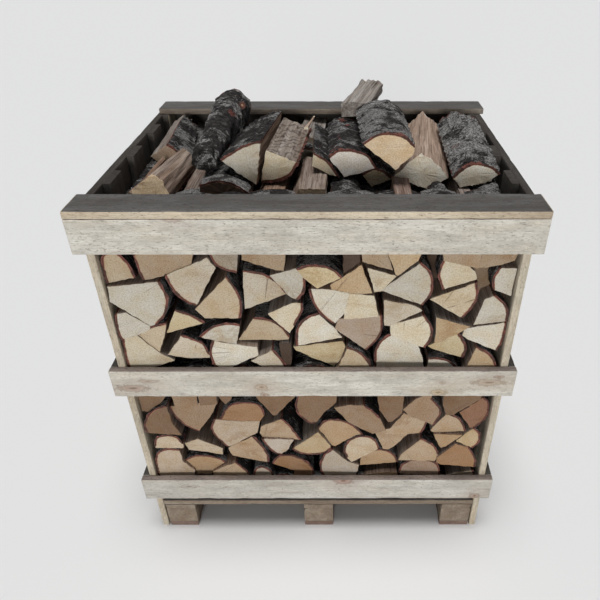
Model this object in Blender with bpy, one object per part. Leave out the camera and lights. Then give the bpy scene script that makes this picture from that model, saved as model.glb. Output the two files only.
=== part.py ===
"""Birch firewood split into short logs and stacked in a slatted pine crate on its own pallet.

Metres, +Z up, front of the crate toward -Y. Three rows of logs lie one behind the other with
their ends to the front; each row is one solid, because its logs press on each other and never
move. A loose heap of larger logs lies on top, one solid for each log.
"""
import math
import random

import bmesh
import bpy

WIDTH = 1.20
DEPTH = 0.98
SHIFT_X = -0.005
BOARD = 0.022
BOARD_WIDTH = 0.100
GAP = 0.0003

RAIL_BOTTOMS = {"bottom": 0.183, "middle": 0.672, "top": 1.164}
CAP_BOTTOM = 1.264
CAP_THICK = 0.020
FRONT_CAP_WIDTH = 0.108
BACK_CAP_WIDTH = 0.104
BACK_CAP_SHIFT = 0.010
SLAT_CENTRES = {
    "front_corner": -0.418,
    "front": -0.219,
    "middle": -0.005,
    "rear": 0.220,
    "rear_corner": 0.418,
}

SKID_THICK = 0.022
BLOCK_SIZE = (0.105, 0.145, 0.076)
BLOCK_X = {"left": -0.498, "centre": 0.0, "right": 0.498}
BLOCK_Y = {"front": -0.395, "middle": 0.0, "rear": 0.395}
DECK_WIDTH = 0.140
DECK_Y = {"front": -0.3975, "front_mid": -0.199, "middle": 0.0, "rear_mid": 0.199, "rear": 0.3975}

INNER_X = 0.5553
DECK_TOP = SKID_THICK + BLOCK_SIZE[2] + 2 * BOARD

# Log ends of the front row, read off the photograph in centimetres from the crate's centre line and
# the floor. First comes how many of the points lie on bark, then the outline, anticlockwise.
FRONT_ENDS = [
    (6, -46.9, 107.2, -48.2, 112.0, -51.5, 115.5, -54.8, 113.5, -55.4, 108.5, -55.3, 105.2),
    (3, -46.4, 116.5, -46.0, 110.0, -45.2, 106.3, -39.3, 107.8, -31.5, 111.0, -30.0, 116.5),
    (4, -38.9, 108.2, -38.0, 104.5, -35.5, 100.3, -32.0, 98.0, -25.0, 110.3, -27.0, 113.4),
    (5, -43.5, 92.2, -41.0, 95.0, -39.4, 98.8, -39.2, 102.5, -40.3, 106.5, -54.8, 104.8,
     -55.3, 100.0, -45.8, 91.5),
    (4, -54.9, 95.8, -55.4, 92.5, -55.4, 89.5, -55.0, 87.0, -50.4, 88.2, -46.0, 90.2, -46.0, 91.6,
     -51.5, 96.3),
    (4, -54.9, 86.7, -55.3, 82.0, -55.4, 77.0, -55.4, 73.5, -52.0, 73.5, -47.0, 76.2, -41.2, 78.4,
     -45.0, 81.5, -50.4, 88.2),
    (4, -41.4, 92.4, -44.5, 91.6, -47.5, 90.6, -50.5, 88.4, -45.2, 81.2, -42.2, 88.5),
    (3, -30.3, 91.8, -33.5, 94.4, -38.2, 96.6, -42.0, 88.2),
    (4, -30.6, 81.0, -31.5, 84.0, -34.0, 86.0, -37.6, 87.6, -43.0, 80.3, -37.5, 79.0, -30.7, 79.0),
    (3, -31.0, 74.0, -34.0, 75.9, -38.0, 75.0, -38.5, 72.0, -31.0, 72.0),
    (4, -28.9, 86.4, -30.2, 82.5, -29.9, 78.0, -28.2, 74.6, -26.0, 75.2, -19.5, 79.0, -16.0, 80.8,
     -16.3, 83.8, -22.0, 85.0),
    (4, -27.2, 116.0, -25.5, 111.0, -22.8, 109.1, -19.8, 108.2, -18.6, 116.0),
    (4, -19.9, 94.0, -19.1, 98.5, -19.8, 103.0, -22.3, 108.0, -32.3, 97.2, -30.0, 94.1),
    (4, -20.4, 92.2, -24.5, 92.7, -28.8, 91.2, -32.6, 87.8, -28.5, 86.4, -21.9, 85.0),
    (4, -6.2, 101.8, -9.0, 105.8, -12.8, 108.5, -18.1, 109.4, -18.7, 96.8),
    (0, -6.0, 116.0, -17.9, 116.0, -17.9, 112.9, -9.0, 109.6, -7.0, 109.4),
    (3, -3.6, 99.8, -1.6, 103.0, -1.2, 107.2, -3.6, 110.2, -10.9, 107.9, -6.0, 101.5),
    (3, -4.6, 91.5, -2.4, 96.0, -2.3, 98.7, -5.3, 98.9, -12.3, 95.1, -6.5, 88.4),
    (4, -6.5, 86.8, -8.6, 90.2, -12.0, 92.8, -16.4, 93.6, -21.6, 85.2, -7.0, 85.3),
    (3, -7.2, 74.8, -9.2, 79.5, -11.4, 83.2, -18.4, 78.8, -14.5, 76.3),
    (0, -6.2, 84.8, -9.8, 84.9, -9.3, 79.5, -7.1, 74.5, -6.4, 78.0),
    (3, -17.3, 74.5, -20.5, 76.9, -24.8, 75.4, -24.8, 72.5, -17.3, 72.5),
    (5, 1.6, 95.5, -1.2, 94.4, -4.0, 91.2, -4.9, 88.0, -5.0, 83.6, 8.6, 86.6, 6.5, 90.0),
    (0, 9.6, 82.8, 8.8, 84.9, 0.5, 83.8, -5.8, 83.0, -5.0, 81.6, 0.5, 78.4, 6.0, 75.6, 8.0, 77.5),
    (4, 5.0, 75.0, 2.0, 76.9, -2.0, 77.0, -6.0, 75.2, -6.0, 72.0, 5.0, 72.0),
    (5, 8.8, 107.9, 6.5, 110.4, 3.0, 111.7, -0.8, 111.8, -3.8, 110.6, -0.7, 106.5, 1.8, 104.2),
    (4, -0.6, 103.8, 0.3, 99.5, 2.6, 95.3, 6.2, 91.8, 9.5, 96.0, 11.0, 102.3, 5.0, 103.6),
    (0, 18.8, 94.4, 17.4, 101.5, 10.8, 102.4, 9.2, 96.5, 9.0, 93.6),
    (0, 16.9, 102.2, 13.7, 111.2, 5.3, 104.9, 5.6, 102.6, 11.0, 101.8),
    (0, 13.3, 116.0, 8.9, 116.0, 8.9, 108.8, 13.2, 112.3),
    (0, 22.2, 109.6, 20.0, 116.0, 13.6, 116.0, 13.9, 112.4),
    (0, 28.6, 113.0, 29.5, 116.0, 20.2, 116.0, 22.6, 109.5, 23.3, 108.2),
    (0, 23.3, 107.9, 15.3, 110.6, 17.4, 102.9, 19.2, 103.0),
    (5, 31.0, 98.4, 33.2, 102.5, 33.2, 106.5, 32.0, 109.8, 29.6, 112.2, 19.0, 103.2),
    (0, 30.9, 96.6, 29.0, 98.3, 20.1, 100.4, 20.5, 91.6, 22.0, 91.3),
    (4, 15.7, 81.9, 18.6, 85.2, 20.2, 89.5, 20.0, 94.5, 7.3, 93.4, 6.6, 89.9),
    (4, 18.3, 74.2, 16.3, 79.3, 13.4, 82.6, 10.3, 84.1, 9.0, 80.5, 6.9, 75.5, 6.8, 73.6),
    (4, 22.5, 87.5, 19.6, 84.7, 18.2, 80.5, 18.2, 74.0, 33.3, 73.8, 32.6, 79.0, 30.6, 84.0),
    (4, 32.8, 83.2, 34.6, 87.5, 34.0, 91.8, 31.9, 95.0, 22.2, 91.6, 22.7, 87.6),
    (0, 44.6, 110.4, 45.2, 116.0, 34.8, 116.0, 35.2, 112.7, 40.0, 111.6),
    (0, 54.5, 112.0, 55.4, 116.0, 46.0, 116.0, 44.5, 110.1, 47.0, 110.0),
    (3, 35.2, 112.8, 34.3, 108.0, 35.8, 103.2, 44.9, 106.6, 44.3, 109.0, 41.8, 111.3),
    (4, 42.6, 93.6, 45.0, 97.5, 46.0, 101.5, 45.2, 105.8, 32.7, 100.1),
    (0, 45.0, 91.1, 35.1, 94.3, 35.4, 85.3, 36.5, 85.2, 42.0, 88.8),
    (3, 44.6, 78.5, 45.3, 82.5, 42.2, 88.4, 33.8, 83.0, 35.0, 82.0),
    (4, 43.9, 74.2, 41.2, 77.4, 37.8, 78.9, 34.3, 78.7, 34.1, 73.6),
    (4, 55.0, 73.8, 54.3, 77.8, 52.0, 81.5, 47.8, 84.2, 44.9, 73.8),
    (3, 54.2, 81.8, 55.4, 86.5, 55.4, 92.2, 43.8, 89.9, 43.2, 87.3, 45.0, 86.0),
    (4, 55.4, 92.8, 55.2, 96.0, 53.8, 99.0, 50.8, 101.8, 48.0, 100.2, 45.9, 91.4),
    (3, 50.4, 110.0, 49.1, 106.5, 49.7, 103.2, 55.2, 100.8, 55.4, 109.8),
    (0, -45.5, 65.0, -55.4, 65.0, -55.3, 56.8, -53.5, 56.5, -48.5, 60.5),
    (5, -46.6, 60.6, -50.0, 59.5, -53.4, 56.3, -55.3, 52.0, -55.2, 48.2, -43.8, 47.2, -46.0, 53.0),
    (4, -46.6, 58.3, -45.5, 53.8, -42.5, 49.3, -38.8, 46.7, -33.0, 55.3, -30.9, 60.8, -36.0, 60.0),
    (0, -37.0, 60.0, -36.4, 65.0, -44.5, 65.0, -44.0, 58.5),
    (0, -30.5, 61.0, -30.5, 65.0, -36.2, 65.0, -36.0, 60.2),
    (5, -44.2, 43.0, -45.8, 45.9, -49.5, 46.8, -52.8, 45.5, -54.0, 42.0, -53.5, 40.7, -44.4, 40.4),
    (5, -46.0, 40.0, -50.5, 40.2, -53.6, 38.3, -55.0, 34.0, -55.3, 25.5, -43.0, 25.2, -42.2, 29.0,
     -45.6, 33.8),
    (0, -31.7, 38.7, -35.0, 40.8, -39.5, 43.4, -44.0, 41.5, -43.3, 38.2, -37.0, 37.2, -32.0, 35.7),
    (5, -31.3, 32.2, -33.0, 34.0, -37.0, 35.5, -41.5, 35.6, -45.2, 33.6, -42.4, 29.5, -42.0, 26.0,
     -37.0, 26.0, -36.2, 28.4),
    (4, -22.8, 25.0, -23.6, 27.8, -25.2, 30.5, -27.2, 33.1, -31.0, 31.6, -36.2, 28.2, -36.3, 24.8),
    (4, -32.8, 53.8, -34.2, 49.8, -33.2, 45.5, -30.2, 40.4, -28.4, 40.8, -19.3, 47.0, -17.9, 52.4,
     -24.0, 52.4),
    (5, -16.0, 55.5, -17.5, 59.8, -22.5, 61.2, -28.0, 59.0, -31.3, 52.5, -31.0, 51.2, -24.0, 52.3,
     -17.9, 52.3),
    (0, -26.4, 62.0, -25.0, 65.0, -30.4, 65.0, -29.9, 62.0, -28.4, 59.4),
    (0, -4.5, 65.0, -19.5, 65.0, -18.0, 61.8, -13.7, 54.3, -12.6, 54.4),
    (5, -5.6, 63.0, -6.4, 58.5, -5.0, 54.2, -1.8, 51.0, 0.0, 51.2, 3.0, 56.3, 6.8, 60.5, 7.0, 65.0,
     -5.5, 65.0),
    (4, -4.6, 43.9, -6.5, 47.5, -8.3, 51.0, -10.6, 53.8, -17.9, 50.0, -18.6, 47.0, -17.8, 45.4,
     -8.0, 44.9),
    (4, -18.0, 45.4, -16.6, 42.0, -14.4, 38.8, -12.3, 37.7, -9.7, 39.9, -7.3, 44.9),
    (4, -16.3, 32.6, -16.5, 37.0, -18.2, 41.3, -20.6, 45.3, -28.6, 40.8, -29.6, 39.8, -28.7, 36.2),
    (5, -14.8, 25.0, -16.0, 28.6, -19.0, 30.8, -21.6, 29.4, -22.6, 25.0),
    (6, -1.0, 25.2, -1.9, 30.2, -5.0, 33.9, -9.5, 35.8, -13.5, 34.9, -15.8, 31.0, -8.0, 27.6,
     -8.5, 25.0),
    (5, -8.2, 40.4, -5.5, 38.3, -1.5, 37.5, 2.5, 38.3, 4.7, 40.2, 4.6, 41.8, 0.8, 48.4),
    (5, 15.6, 46.3, 12.2, 50.6, 7.5, 52.9, 3.0, 52.3, 0.5, 49.3, 5.1, 41.0, 6.3, 40.4, 10.8, 44.2),
    (3, 20.5, 55.0, 18.5, 57.8, 15.9, 60.2, 10.5, 60.2, 6.1, 58.8, 10.5, 52.5, 14.0, 49.8,
     18.5, 47.0, 22.8, 48.6),
    (4, 38.2, 50.4, 40.1, 54.6, 39.9, 58.3, 37.0, 62.3, 36.0, 65.0, 31.5, 62.0, 27.8, 57.6,
     30.0, 55.2, 35.0, 52.6),
    (3, 34.7, 46.7, 35.8, 49.5, 36.3, 52.0, 30.0, 55.0, 28.4, 56.0, 24.2, 49.2, 19.3, 47.3,
     22.3, 39.5, 24.0, 38.9, 26.5, 40.9, 30.0, 46.3),
    (0, 27.6, 57.0, 27.8, 65.0, 19.3, 65.0, 20.4, 58.5, 23.3, 53.2, 24.5, 53.4),
    (7, 21.2, 40.2, 20.0, 43.6, 17.6, 45.9, 13.5, 45.9, 10.2, 43.0, 9.0, 39.0, 9.7, 35.5,
     11.8, 32.5, 15.2, 35.2),
    (5, 28.0, 31.6, 26.9, 34.8, 24.3, 37.6, 20.3, 38.6, 16.3, 36.6, 15.0, 34.5, 14.6, 30.3, 22.0, 31.0),
    (0, 28.0, 24.5, 27.6, 27.3, 21.0, 27.0, 16.5, 25.8, 16.0, 24.5),
    (5, 5.0, 39.3, 2.2, 36.4, 0.9, 32.0, 1.0, 28.5, 1.8, 26.0, 13.3, 25.9, 14.4, 31.5, 10.5, 33.2),
    (4, 41.2, 37.6, 39.8, 40.8, 37.6, 43.0, 35.0, 44.8, 28.3, 36.5, 27.6, 33.8, 40.2, 33.6),
    (7, 42.7, 25.8, 42.2, 30.0, 40.2, 33.0, 35.5, 34.3, 31.2, 33.4, 28.7, 30.6, 27.9, 26.5),
    (4, 49.4, 47.2, 48.3, 50.6, 46.3, 53.6, 42.8, 55.8, 41.8, 55.0, 38.0, 49.2, 37.6, 47.6, 38.5, 46.8),
    (0, 48.2, 46.7, 38.6, 46.9, 40.5, 42.0, 41.6, 40.3, 43.0, 40.9),
    (0, 51.5, 63.0, 52.0, 65.0, 40.0, 65.0, 40.3, 60.0, 41.8, 55.8, 44.0, 56.2),
    (5, 52.0, 49.6, 54.8, 53.5, 55.4, 57.5, 54.8, 61.0, 53.0, 63.2, 46.0, 56.2, 48.8, 51.8, 50.3, 49.3),
    (5, 52.2, 40.2, 53.9, 42.6, 54.2, 45.5, 53.3, 48.2, 51.7, 49.8, 48.8, 46.9, 46.3, 43.6),
    (4, 54.3, 31.4, 53.8, 35.3, 52.6, 38.6, 51.0, 41.0, 46.2, 42.6, 40.7, 36.0, 40.4, 33.6, 42.2, 32.5),
    (3, 55.3, 24.8, 55.0, 26.5, 54.0, 28.8, 48.0, 27.3, 45.0, 25.5, 45.0, 24.5),
]
# Logs that show only as dark sides deep in the widest gaps.
DEEP_ENDS = [
    (0, 49.8, 98.0, 51.0, 105.0, 48.6, 111.5, 43.8, 111.0, 44.6, 103.0, 45.6, 93.0),
    (0, 19.6, 101.0, 18.6, 106.0, 14.6, 113.0, 12.2, 112.4, 12.4, 104.0),
    (0, 36.2, 103.4, 36.6, 113.6, 31.4, 113.6, 33.0, 104.0),
    (0, 9.6, 52.4, 5.6, 59.4, 1.8, 52.2),
]

# Low logs on top of the middle row, between and under the logs of the heap, given as the ends are.
LOW_ENDS = [
    (4, -19.1, 119.8, -21.4, 122.1, -26.9, 123.8, -33.2, 122.6, -33.5, 119.0, -31.1, 115.9, -19.3, 115.9),
    (0, -34.5, 115.9, -35.2, 118.2, -38.2, 118.2, -38.6, 115.9),
    (0, -8.6, 115.9, -9.0, 119.0, -15.5, 119.4, -18.2, 115.9),
    (3, 14.0, 116.4, 11.5, 118.5, 6.4, 118.8, 4.9, 115.9, 13.0, 115.9),
    (0, 28.3, 115.9, 28.0, 118.3, 25.6, 118.5, 25.4, 115.9),
    (4, 51.5, 116.6, 50.0, 118.8, 44.0, 119.4, 40.2, 118.2, 39.6, 115.9, 50.5, 115.9),
]

# Logs of the loose heap: middle of the near end and of the far end in metres, how much larger the far
# end is, then the outline about the log's middle in centimetres, bark points first as above.
HEAP = {
    "heap_left_front": ((-0.467, -0.225, 1.219), (-0.443, 0.050, 1.207), 0.84,
                        (3, -4.6, -3.8, 0.0, -4.8, 5.0, -3.6, 5.4, -0.3, 3.8, 3.0, 0.9, 4.8, -5.3, 0.4)),
    "heap_left_rear": ((-0.477, 0.062, 1.214), (-0.487, 0.345, 1.242), 0.68,
                       (3, 6.5, -1.0, 3.3, 2.3, -0.2, 5.0, -6.5, 0.6, -1.2, -4.9)),
    "heap_long_dark": ((-0.325, -0.128, 1.277), (-0.281, 0.205, 1.344), 1.65,
                       (6, 3.2, -2.4, 3.4, 0.6, 2.0, 2.8, -0.5, 3.3, -2.8, 1.9, -3.4, -0.9,
                        -1.9, -2.9, 1.3, -3.3)),
    "heap_half_round": ((-0.211, -0.135, 1.271), (-0.178, 0.185, 1.266), 1.02,
                        (5, 6.2, 6.8, 4.1, 6.6, 0.3, 5.2, -3.5, 3.1, -6.3, 1.4, 3.8, -6.8)),
    "heap_wavy_quarter": ((-0.103, -0.115, 1.253), (-0.076, 0.200, 1.257), 1.00,
                          (4, -5.9, -5.1, -0.6, -4.5, 3.3, -2.5, 5.9, 1.2, -3.6, 5.0)),
    "heap_low_split": ((-0.006, -0.200, 1.197), (-0.004, 0.060, 1.197), 1.00,
                       (0, 4.6, -2.8, 4.4, 2.2, -3.6, 2.2, -6.0, -2.6)),
    "heap_quarter": ((0.038, -0.085, 1.247), (0.028, 0.200, 1.250), 0.95,
                     (4, 4.2, -4.1, 2.5, -1.2, -0.1, 1.9, -3.7, 4.1, -4.2, -0.1, -0.1, -2.5)),
    "heap_half_white": ((0.118, -0.085, 1.253), (0.106, 0.220, 1.259), 0.92,
                        (5, 7.4, -1.3, 4.5, 2.8, -0.0, 4.3, -4.4, 4.2, -7.4, 2.1, -2.6, -4.4, 2.1, -3.4)),
    "heap_half_small": ((0.198, -0.055, 1.196), (0.198, 0.160, 1.196), 1.00,
                        (4, 5.1, -0.3, 1.8, 2.0, -1.3, 2.9, -5.2, 1.1, -1.9, -2.9)),
    "heap_big_top": ((0.219, -0.170, 1.321), (0.209, 0.160, 1.320), 1.03,
                     (5, 7.5, 1.8, 4.4, 4.4, 0.1, 5.4, -4.0, 4.7, -7.6, 2.2, 2.2, -5.5, 6.8, -1.5)),
    "heap_broken_chunk": ((0.130, 0.168, 1.340), (0.192, 0.300, 1.386), 0.80,
                          (2, 4.6, -1.8, 4.4, 1.8, 0.0, 3.0, -4.6, 2.4, -4.6, -2.4)),
    "heap_ridge": ((0.331, -0.090, 1.225), (0.371, 0.245, 1.265), 0.75,
                   (0, 8.4, -1.6, 4.6, 2.4, -0.4, 5.6, -4.6, 2.5, -8.4, -1.2, 1.7, -4.9)),
    "heap_silver_bark": ((0.487, -0.145, 1.240), (0.477, 0.180, 1.296), 0.96,
                         (5, 7.1, 0.4, 3.9, 2.6, -1.1, 3.6, -4.5, 2.0, -7.2, -0.5, -4.8, -3.7,
                          2.8, -2.6)),
}

FRONT_SPAN = (-0.460, -0.158)
MIDDLE_SPAN = (-0.140, 0.146)
REAR_SPAN = (0.164, 0.460)
END_SCATTER = 0.012
PRESS = 0.0045
DEEP_START = 0.085


def new_collection(name):
    group = bpy.data.collections.new(name)
    bpy.context.scene.collection.children.link(group)
    return group


def plain_material(name, colour, roughness):
    material = bpy.data.materials.new(name)
    material.use_nodes = True
    shader = material.node_tree.nodes["Principled BSDF"]
    shader.inputs["Base Color"].default_value = (*colour, 1.0)
    shader.inputs["Roughness"].default_value = roughness
    shader.inputs["Metallic"].default_value = 0.0
    return material


def keep(mesh_edit, name, material, group):
    mesh = bpy.data.meshes.new(name)
    mesh_edit.to_mesh(mesh)
    mesh_edit.free()
    mesh.materials.append(material)
    piece = bpy.data.objects.new(name, mesh)
    group.objects.link(piece)
    return piece


def board(name, x_range, y_range, z_range, material, group):
    """A straight sawn board between the given limits."""
    edit = bmesh.new()
    bmesh.ops.create_cube(edit, size=1.0)
    low = (x_range[0], y_range[0], z_range[0])
    high = (x_range[1], y_range[1], z_range[1])
    for vertex in edit.verts:
        for axis in range(3):
            middle = (low[axis] + high[axis]) / 2
            vertex.co[axis] = middle + vertex.co[axis] * (high[axis] - low[axis])
    return keep(edit, name, material, group)


def outline_points(numbers):
    return [(numbers[i] / 100, numbers[i + 1] / 100) for i in range(0, len(numbers), 2)]


def pressed(points):
    """The outline pushed outward a little from its middle, as where logs bear on each other."""
    middle_x = sum(x for x, z in points) / len(points)
    middle_z = sum(z for x, z in points) / len(points)
    grown = []
    for x, z in points:
        reach = math.hypot(x - middle_x, z - middle_z)
        share = 1 + PRESS / reach
        grown.append((middle_x + (x - middle_x) * share, middle_z + (z - middle_z) * share))
    return grown


def lengthwise(name, points, near, far, far_scale, material, group):
    """A log: its outline at the near end, drawn straight to the far end and scaled there."""
    edit = bmesh.new()
    ring = [edit.verts.new((near[0] + x, near[1], near[2] + z)) for x, z in points]
    end = edit.faces.new(ring)
    made = bmesh.ops.extrude_face_region(edit, geom=[end])
    moved = [item for item in made["geom"] if isinstance(item, bmesh.types.BMVert)]
    for vertex in moved:
        vertex.co.x = far[0] + (vertex.co.x - near[0]) * far_scale
        vertex.co.z = far[2] + (vertex.co.z - near[2]) * far_scale
        vertex.co.y = far[1]
    bmesh.ops.recalc_face_normals(edit, faces=edit.faces)
    return keep(edit, name, material, group)


def plainer(end):
    """The same log end with at most its first, middle and last point on the bark."""
    bark, numbers = end[0], end[1:]
    if bark < 5:
        return end
    middle = bark // 2
    kept = [0, middle, bark - 1]
    points = [numbers[2 * i:2 * i + 2] for i in kept + list(range(bark, len(numbers) // 2))]
    return (3, *[value for point in points for value in point])


def filler_band(rng, bottom, top, count):
    """A row of logs for a band that the crate hides: wedges side by side between two levels."""
    low = [-55.1 + 110.2 * i / count for i in range(count + 1)]
    high = list(low)
    for i in range(1, count):
        low[i] += rng.uniform(-2.2, 2.2)
        high[i] += rng.uniform(-2.2, 2.2)
    ends = []
    for i in range(count):
        rise = rng.uniform(0.3, 0.9)
        middle = (high[i] + high[i + 1]) / 2
        shoulder = top - rise
        bark = (high[i + 1], shoulder, middle, top, high[i], shoulder)
        ends.append((3, *bark, low[i], bottom, low[i + 1], bottom))
    return ends


def stack(name, ends, deep_ends, span, mirror, rng, material, group):
    """One row of the stack: every log full length, all of them united where they press together."""
    cutters = new_collection("single_logs")
    cutters.hide_render = True
    logs = []
    for number, end in enumerate(ends + deep_ends):
        points = pressed(outline_points(end[1:]))
        if mirror:
            points = [(-x, z) for x, z in reversed(points)]
        points = [(min(max(x, -INNER_X), INNER_X), max(z, DECK_TOP + GAP)) for x, z in points]
        start = span[0] + rng.uniform(0, END_SCATTER) * 2.4
        stop = span[1] - rng.uniform(0, END_SCATTER)
        if end in deep_ends:
            start += 0.0 if mirror else DEEP_START
            stop -= DEEP_START if mirror else 0.0
        near = (0.0, start, 0.0)
        far = (0.0, stop, 0.0)
        logs.append(lengthwise(f"{name}_log_{number}", points, near, far, 1.0, material, cutters))
    whole = logs[0]
    cutters.objects.unlink(whole)
    group.objects.link(whole)
    whole.name = name
    union = whole.modifiers.new("logs pressed together", "BOOLEAN")
    union.operation = "UNION"
    union.operand_type = "COLLECTION"
    union.collection = cutters
    union.solver = "EXACT"
    bpy.context.view_layer.update()
    graph = bpy.context.evaluated_depsgraph_get()
    joined = bpy.data.meshes.new_from_object(whole.evaluated_get(graph))
    whole.modifiers.clear()
    whole.data = joined
    edit = bmesh.new()
    edit.from_mesh(joined)
    bmesh.ops.remove_doubles(edit, verts=edit.verts, dist=0.0001)
    bmesh.ops.dissolve_degenerate(edit, edges=edit.edges, dist=0.0001)
    edit.to_mesh(joined)
    edit.free()
    for log in logs[1:]:
        bpy.data.objects.remove(log)
    bpy.data.collections.remove(cutters)


for old in list(bpy.data.objects):
    bpy.data.objects.remove(old)

crate = new_collection("crated_birch_firewood")

pale_pine = plain_material("weathered_pine_face", (0.56, 0.53, 0.46), 0.75)
grey_pine = plain_material("grey_pine_top", (0.20, 0.19, 0.18), 0.8)
pallet_pine = plain_material("pallet_pine", (0.42, 0.37, 0.30), 0.8)
log_wood = plain_material("birch_end_grain", (0.55, 0.44, 0.30), 0.8)
log_bark = plain_material("birch_bark", (0.13, 0.12, 0.115), 0.85)

half = WIDTH / 2
front = -DEPTH / 2
rear = DEPTH / 2
under_cap = CAP_BOTTOM - GAP

board("front_cap", (-half, half), (front, front + FRONT_CAP_WIDTH), (CAP_BOTTOM, CAP_BOTTOM + CAP_THICK),
      grey_pine, crate)
board("rear_cap", (-half + BACK_CAP_SHIFT, half + BACK_CAP_SHIFT), (rear - BACK_CAP_WIDTH, rear),
      (CAP_BOTTOM, CAP_BOTTOM + CAP_THICK), grey_pine, crate)

along = (front + BOARD + GAP, rear - BOARD - GAP)
for level, bottom in RAIL_BOTTOMS.items():
    top = min(bottom + BOARD_WIDTH, under_cap)
    board(f"front_{level}_rail", (-half, half), (front, front + BOARD), (bottom, top), pale_pine, crate)
    board(f"rear_{level}_rail", (-half, half), (rear - BOARD, rear), (bottom, top), pale_pine, crate)
    board(f"left_{level}_rail", (-half, -half + BOARD), along, (bottom, top), pale_pine, crate)
    board(f"right_{level}_rail", (half - BOARD, half), along, (bottom, top), pale_pine, crate)

for place, centre in SLAT_CENTRES.items():
    y_limits = (max(centre - BOARD_WIDTH / 2, along[0]), min(centre + BOARD_WIDTH / 2, along[1]))
    inner = half - 2 * BOARD - GAP
    board(f"left_{place}_slat", (-inner - BOARD, -inner), y_limits, (0.0, under_cap), pale_pine, crate)
    board(f"right_{place}_slat", (inner, inner + BOARD), y_limits, (0.0, under_cap), pale_pine, crate)

for side, x in BLOCK_X.items():
    x_limits = (x - BLOCK_SIZE[0] / 2, x + BLOCK_SIZE[0] / 2)
    board(f"{side}_skid", x_limits, along, (0.0, SKID_THICK), pallet_pine, crate)
    level = SKID_THICK + BLOCK_SIZE[2]
    board(f"{side}_stringer", x_limits, along, (level + GAP, level + BOARD), pallet_pine, crate)
    for place, y in BLOCK_Y.items():
        y_limits = (y - BLOCK_SIZE[1] / 2, y + BLOCK_SIZE[1] / 2)
        board(f"{side}_{place}_block", x_limits, y_limits, (SKID_THICK + GAP, level), pallet_pine, crate)

for place, y in DECK_Y.items():
    y_limits = (y - DECK_WIDTH / 2, y + DECK_WIDTH / 2)
    board(f"{place}_deck_board", (-INNER_X + 0.001, INNER_X - 0.001), y_limits,
          (DECK_TOP - BOARD + GAP, DECK_TOP), pallet_pine, crate)

chance = random.Random(7)
hidden_bands = filler_band(chance, DECK_TOP * 100 + 0.05, 25.6, 9) + filler_band(chance, 64.6, 74.6, 9)
stack("front_row_of_logs", FRONT_ENDS + hidden_bands, DEEP_ENDS, FRONT_SPAN, False, chance, log_wood, crate)
middle_bands = []
for level in range(7):
    step = (115.4 - DECK_TOP * 100 - 0.05) / 7
    start = DECK_TOP * 100 + 0.05 + step * level
    middle_bands += filler_band(chance, start, start + step + 0.6, 7 + level % 2)
stack("middle_row_of_logs", middle_bands + LOW_ENDS, [], MIDDLE_SPAN, False, chance, log_wood, crate)
rear_ends = [plainer(end) for end in FRONT_ENDS] + hidden_bands
stack("rear_row_of_logs", rear_ends, DEEP_ENDS, REAR_SPAN, True, chance, log_wood, crate)

for name, (near, far, far_scale, section) in HEAP.items():
    lengthwise(name, outline_points(section[1:]), near, far, far_scale, log_bark, crate)

for piece in crate.objects:
    for vertex in piece.data.vertices:
        vertex.co.x += SHIFT_X
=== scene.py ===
import math

import bpy
import numpy as np
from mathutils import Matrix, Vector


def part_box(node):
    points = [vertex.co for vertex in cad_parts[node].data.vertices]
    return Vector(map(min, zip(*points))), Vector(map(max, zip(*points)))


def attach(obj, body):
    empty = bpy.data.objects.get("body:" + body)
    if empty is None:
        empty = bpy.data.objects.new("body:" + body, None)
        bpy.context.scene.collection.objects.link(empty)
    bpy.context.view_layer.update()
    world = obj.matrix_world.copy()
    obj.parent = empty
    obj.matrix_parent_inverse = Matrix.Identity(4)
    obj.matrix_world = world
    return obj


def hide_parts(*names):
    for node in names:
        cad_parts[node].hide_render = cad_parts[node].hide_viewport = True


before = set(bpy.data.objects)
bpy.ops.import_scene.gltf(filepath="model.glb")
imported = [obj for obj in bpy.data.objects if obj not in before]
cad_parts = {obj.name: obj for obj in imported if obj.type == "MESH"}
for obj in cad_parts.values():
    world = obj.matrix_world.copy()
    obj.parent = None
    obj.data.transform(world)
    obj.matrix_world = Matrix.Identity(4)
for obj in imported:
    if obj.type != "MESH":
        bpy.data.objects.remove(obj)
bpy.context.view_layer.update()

# The view: a lens a little wider than normal, at an adult's eye height, close in front of the crate
# and looking down into it, so that both its front and the heap on top are seen.
view_lens = bpy.data.cameras.new("front_view")
view_lens.sensor_width = 36.0
view_lens.lens = 34.30
view_lens.shift_x = -0.0707
front_view = bpy.data.objects.new("front_view", view_lens)
front_view.location = (0.0795, -1.758, 1.8866)
front_view.rotation_euler = (math.radians(55.81), 0.0, math.radians(-0.093))
bpy.context.scene.collection.objects.link(front_view)
bpy.context.scene.camera = front_view


# The studio: a wide pale floor, a dim even surround, and two large soft lamps, one nearly overhead and
# one low in front, so that floor and crate front are bright and the gaps between logs stay dark.
def studio_lamp(name, strength, elevation, turn, spread):
    """A far lamp: elevation above the floor and turn from straight in front, in degrees."""
    lamp = bpy.data.lights.new(name, "SUN")
    lamp.energy = strength
    lamp.angle = math.radians(spread)
    holder = bpy.data.objects.new(name, lamp)
    holder.rotation_euler = (math.radians(90.0 - elevation), 0.0, math.radians(turn))
    bpy.context.scene.collection.objects.link(holder)


studio_lamp("soft_high_lamp", 2.24, 86.0, -6.0, 26.0)
studio_lamp("soft_low_lamp", 2.12, 5.0, -4.0, 20.0)

surround = bpy.data.worlds.new("pale_surround")
surround.use_nodes = True
sky = surround.node_tree.nodes["Background"].inputs
sky["Color"].default_value = (0.96, 0.98, 1.0, 1.0)
sky["Strength"].default_value = 0.14
bpy.context.scene.world = surround
bpy.context.scene.view_settings.view_transform = "Standard"

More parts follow.
